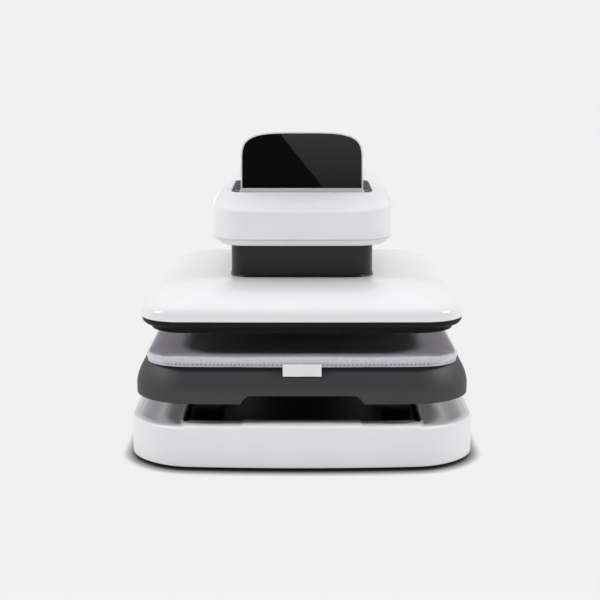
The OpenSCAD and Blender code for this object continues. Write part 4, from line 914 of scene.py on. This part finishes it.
# %% Pad tab
tag_low, tag_high = size_of("pad_tag")
TAG_W, TAPE_T, FOLD_R, TUCKED, TAG_RISE = tag_high[0] - tag_low[0], 0.28 * MM, 0.16 * MM, 0.7 * MM, 2 * MM
TAG_ACROSS, RIPPLE, RIPPLE_TURN = 17, 0.35 * MM, 8.0
front_y, fold_z = tag_low[1] + 0.3 * MM, tag_high[2] + TAG_RISE
back_y, leg_z = front_y + 2 * FOLD_R, tray_high[2] - TUCKED
fold = np.linspace(0.0, math.pi, 7)
hang = np.linspace(0.0, 1.0, 17)[1:]
path_y = np.concatenate((np.linspace(tag_high[1], back_y, 6), np.full(3, back_y),
                         back_y - FOLD_R * (1 - np.cos(fold)), np.full(hang.size, front_y)))
path_z = np.concatenate((np.full(6, leg_z), leg_z + (fold_z - leg_z) * np.array([0.1, 0.4, 0.8]),
                         fold_z + FOLD_R * np.sin(fold), fold_z + (tag_low[2] - fold_z) * hang))
free = np.concatenate((np.zeros(16), hang))[:, None] ** 2
across = np.linspace(-0.5, 0.5, TAG_ACROSS) * TAG_W
ripple = RIPPLE * np.sin(across / TAG_W * RIPPLE_TURN)
grid_x, grid_y = np.meshgrid(across, path_y)
grid_z = np.repeat(path_z[:, None], TAG_ACROSS, axis=1)
points = np.stack((grid_x, grid_y + free * ripple, grid_z), axis=-1)
place_of = np.arange(len(path_y) * TAG_ACROSS).reshape(-1, TAG_ACROSS)
quads = np.stack((place_of[1:, :-1], place_of[1:, 1:], place_of[:-1, 1:], place_of[:-1, :-1]), axis=-1)
tag_piece = mesh_object("pad_tab", points, quads.reshape(-1, 4).tolist(), crease=80)
thick = tag_piece.modifiers.new("Thickness", "SOLIDIFY")
thick.thickness = TAPE_T
thick.offset = 0.0
baked(tag_piece)
tag_tape, tree, shader, place = blank("white_satin_tape", IOR=1.46, Sheen_Weight=0.3)
ribs = add(tree, "ShaderNodeTexWave", {**soft_ridges, "Vector": place, "Scale": WAVE_STEP * per_mm(1.8)},
           bands_direction="X").outputs["Fac"]
tape_tint = add(tree, "ShaderNodeMixRGB",
                {"Fac": ribs, "Color1": linear("#e6e6e8"), "Color2": linear("#ececed")})
tape_gloss = add(tree, "ShaderNodeMapRange", {"Value": ribs, "To Min": 0.42, "To Max": 0.6})
tape_bump = add(tree, "ShaderNodeBump", {"Height": ribs, "Strength": 0.15, "Distance": 0.05 * MM})
wire(tree, shader, tape_tint, tape_gloss, tape_bump)
dress(tag_piece, "drawer", "pad_tag", tag_tape)

# %% [markdown]
# The studio is a wide pale floor with two glowing boards low in front, which act as lamps and lift the upright
# fronts without reaching the pad's top. The floor is a light table that glows evenly, and its glow is dimmed by
# ambient occlusion near the press. That is a painted contact shadow, and the only darkening on it. A dim panel
# behind the camera is there for the screen alone: its slanted edge is what the glass mirrors.

# %% Floor and panel
# The last two numbers set the reach and sharpness of the painted contact shadow on the floor.
FLOOR, FLOOR_LIGHT, PAINTED_SHADOW_REACH, PAINTED_SHADOW_POWER = 60.0, 0.845, 17 * MM, 3.0
BLACK, WHITE = (0.0, 0.0, 0.0, 1.0), (1.0, 1.0, 1.0, 1.0)


def stage_sheet(name, corners, material):
    """A flat four-cornered sheet that is part of the studio."""
    sheet = mesh_object(name, corners, [(0, 1, 2, 3)])
    sheet.data.materials.append(material)
    return sheet


paper, tree, shader, place = blank("pale_light_table", Roughness=0.9, Specular_IOR_Level=0.0,
                                   Emission_Color=WHITE)
fibre = add(tree, "ShaderNodeTexNoise", {"Vector": place, "Scale": per_mm(8.0), "Detail": 4.0}).outputs[0]
paper_tint = add(tree, "ShaderNodeMixRGB",
                 {"Fac": fibre, "Color1": linear("#303030"), "Color2": linear("#323232")})
# Ambient occlusion within a short reach dims the floor's glow near the press: a painted contact shadow.
painted_shadow_ao = add(tree, "ShaderNodeAmbientOcclusion", {"Distance": PAINTED_SHADOW_REACH}, samples=8).outputs["AO"]
glow = add(tree, "ShaderNodeMath", {0: painted_shadow_ao, 1: PAINTED_SHADOW_POWER}, operation="POWER").outputs[0]
glow = add(tree, "ShaderNodeMath", {0: glow, 1: FLOOR_LIGHT}, operation="MULTIPLY").outputs[0]
tree.links.new(paper_tint.outputs["Color"], shader.inputs["Base Color"])
tree.links.new(glow, shader.inputs["Emission Strength"])
stage_sheet("studio_floor", [(-FLOOR, -FLOOR, 0), (FLOOR, -FLOOR, 0), (FLOOR, FLOOR, 0), (-FLOOR, FLOOR, 0)],
            paper)

PANEL_LOW, PANEL_HIGH, PANEL_Y, PANEL_LEFT, PANEL_TOP_LEFT, PANEL_RIGHT = 1.0, 1.45, -2.5, 0.17, -0.175, 0.6
softbox, tree, shader, place = blank("dim_softbox", Base_Color=BLACK, Specular_IOR_Level=0.0,
                                     Emission_Color=WHITE)
height = add(tree, "ShaderNodeSeparateXYZ", {"Vector": place}).outputs["Z"]
glow = add(tree, "ShaderNodeMapRange", {"Value": height, "From Min": PANEL_LOW, "From Max": PANEL_HIGH,
                                        "To Min": 0.12, "To Max": 1.0})
tree.links.new(glow.outputs["Result"], shader.inputs["Emission Strength"])
STAND_HALF, STAND_Y, STAND_LOW, STAND_HIGH = 0.5, -0.66, 0.02, 0.085
LYING_HALF, LYING_NEAR, LYING_FAR, LYING_Z = 1.0, -1.05, -0.67, 0.03
# The boards reflect nothing: a black ground with a strong glow makes each a flat lamp.
board, tree, shader, place = blank("glowing_fill_board", Base_Color=BLACK, Specular_IOR_Level=0.0,
                                   Emission_Color=WHITE, Emission_Strength=2.3)
unseen = [
    stage_sheet("front_board", [(-STAND_HALF, STAND_Y, STAND_LOW), (STAND_HALF, STAND_Y, STAND_LOW),
                                (STAND_HALF, STAND_Y, STAND_HIGH), (-STAND_HALF, STAND_Y, STAND_HIGH)], board),
    stage_sheet("floor_board", [(-LYING_HALF, LYING_NEAR, LYING_Z), (LYING_HALF, LYING_NEAR, LYING_Z),
                                (LYING_HALF, LYING_FAR, LYING_Z), (-LYING_HALF, LYING_FAR, LYING_Z)], board),
    stage_sheet("screen_panel", [(PANEL_LEFT, PANEL_Y, PANEL_LOW), (PANEL_RIGHT, PANEL_Y, PANEL_LOW),
                                 (PANEL_RIGHT, PANEL_Y, PANEL_HIGH), (PANEL_TOP_LEFT, PANEL_Y, PANEL_HIGH)],
                softbox),
]
for sheet in unseen:
    sheet.visible_camera = False
print("floor and", len(unseen), "sheets")

# %% [markdown]
# A broad lamp low on each side makes the bright corners and the small highlights on the polished cover.
# White shells and the dark drawer need different strengths, and the base a steeper lamp, so each group has
# its own pair, kept to it by light linking. Three weak lamps in front fill the shaded fronts.

# %% Lamps
def broad_lamp(name, way, strength, spread, only=(), never=(), mirrored=True):
    """A far lamp that shines from a direction, with a soft edge of a spread in degrees. It may be kept to
    some pieces, or kept off some, as flags do in a studio, and a fill lamp isn't mirrored by gloss."""
    lamp = bpy.data.lights.new(name, "SUN")
    lamp.energy = strength
    lamp.angle = math.radians(spread)
    holder = bpy.data.objects.new(name, lamp)
    aim = np.array(way) / np.linalg.norm(way)
    holder.rotation_euler = (math.acos(aim[2]), 0.0, math.atan2(aim[0], -aim[1]))
    holder.visible_glossy = mirrored
    bpy.context.scene.collection.objects.link(holder)
    lit = bpy.data.collections.new(name)
    for piece in (*only, *never):
        lit.objects.link(piece)
    for member in lit.collection_objects:
        member.light_linking.link_state = "INCLUDE" if only else "EXCLUDE"
    holder.light_linking.receiver_collection = lit


LOW_SIDE, HIGH_SIDE = (0.78, -0.22, 0.57), (0.67, -0.19, 0.72)
LOW_FRONT, HIGH_FRONT = (0.0, -0.98, 0.2), (0.0, -0.64, 0.77)
SIDE_SPREAD, FRONT_SPREAD = 13.0, 20.0
head_pieces, drawer_pieces = [upper_piece, lower_piece], [tray_piece, pad_piece, stitch_piece, tag_piece]
own_lamps = [base_piece, cover_piece, *drawer_pieces]
for side, label in ((-1, "left"), (1, "right")):
    low, high = np.array(LOW_SIDE) * (side, 1, 1), np.array(HIGH_SIDE) * (side, 1, 1)
    broad_lamp(f"{label}_lamp", low, 1.2, SIDE_SPREAD, never=own_lamps)
    broad_lamp(f"{label}_drawer_lamp", low, 1.75, SIDE_SPREAD, only=drawer_pieces)
    broad_lamp(f"{label}_cover_lamp", low, 1.35, SIDE_SPREAD, only=[cover_piece])
    broad_lamp(f"{label}_base_lamp", high, 1.4, SIDE_SPREAD, only=[base_piece])
broad_lamp("front_cover_lamp", HIGH_FRONT, 0.3, FRONT_SPREAD, only=[cover_piece], mirrored=False)
broad_lamp("front_base_lamp", LOW_FRONT, 0.25, FRONT_SPREAD, only=[base_piece], mirrored=False)
broad_lamp("front_head_lamp", LOW_FRONT, 0.25, FRONT_SPREAD, only=head_pieces, mirrored=False)
print("lamps", len(bpy.data.lights))

# %% [markdown]
# The sky does the rest: a large soft light overhead that leans a little to the back, so that it doesn't
# reach under the platen, over a backdrop that is pale behind the press and dark behind the camera. What the
# camera sees of it is one even pale grey.

# %% Overhead light and backdrop
OVERHEAD_AIM, OVERHEAD_LIGHT = (0.0, 0.21, 0.978), (1.3, 1.3, 1.3, 1.0)
sky = bpy.data.worlds.new("overhead_softbox")
bpy.context.scene.world = sky
sky.use_nodes = True
tree = sky.node_tree
skyward = add(tree, "ShaderNodeTexCoord").outputs["Generated"]
toward = add(tree, "ShaderNodeSeparateXYZ", {"Vector": skyward})
backdrop = add(tree, "ShaderNodeMapRange", {"Value": toward.outputs["Y"], "From Min": -0.6, "From Max": 0.2,
                                            "To Min": 0.03, "To Max": 0.85}).outputs["Result"]
above = add(tree, "ShaderNodeVectorMath", {0: skyward, 1: OVERHEAD_AIM}, operation="DOT_PRODUCT")
overhead = add(tree, "ShaderNodeMapRange",
               {"Value": above.outputs["Value"], "From Min": 0.76, "From Max": 0.95})
light = add(tree, "ShaderNodeMixRGB", {"Fac": overhead.outputs["Result"], "Color1": backdrop,
                                       "Color2": OVERHEAD_LIGHT}).outputs["Color"]
seen = add(tree, "ShaderNodeLightPath").outputs["Is Camera Ray"]
shown = add(tree, "ShaderNodeMixRGB", {"Fac": seen, "Color1": light, "Color2": linear("#f1f1f1")})
tree.links.new(shown.outputs["Color"], tree.nodes["Background"].inputs["Color"])

# %% [markdown]
# The camera stands in front of the press, a little above it, and looks down by about twelve degrees, with a
# long lens. Its place and lens were fitted to a photograph, so that the press's edges fall where they do
# there.

# %% Camera
CAMERA_AT, LOOK_DOWN, LENS = (-0.0026, -1.6175, 0.50266), 11.81, 68.28
view = bpy.data.cameras.new("front_camera")
view.lens = LENS
view.sensor_width = 36.0
camera = bpy.data.objects.new("front_camera", view)
camera.location = CAMERA_AT
camera.rotation_euler = (math.radians(90 - LOOK_DOWN), 0.0, 0.0)
bpy.context.scene.collection.objects.link(camera)
bpy.context.scene.camera = camera
bpy.context.scene.view_settings.view_transform = "Standard"
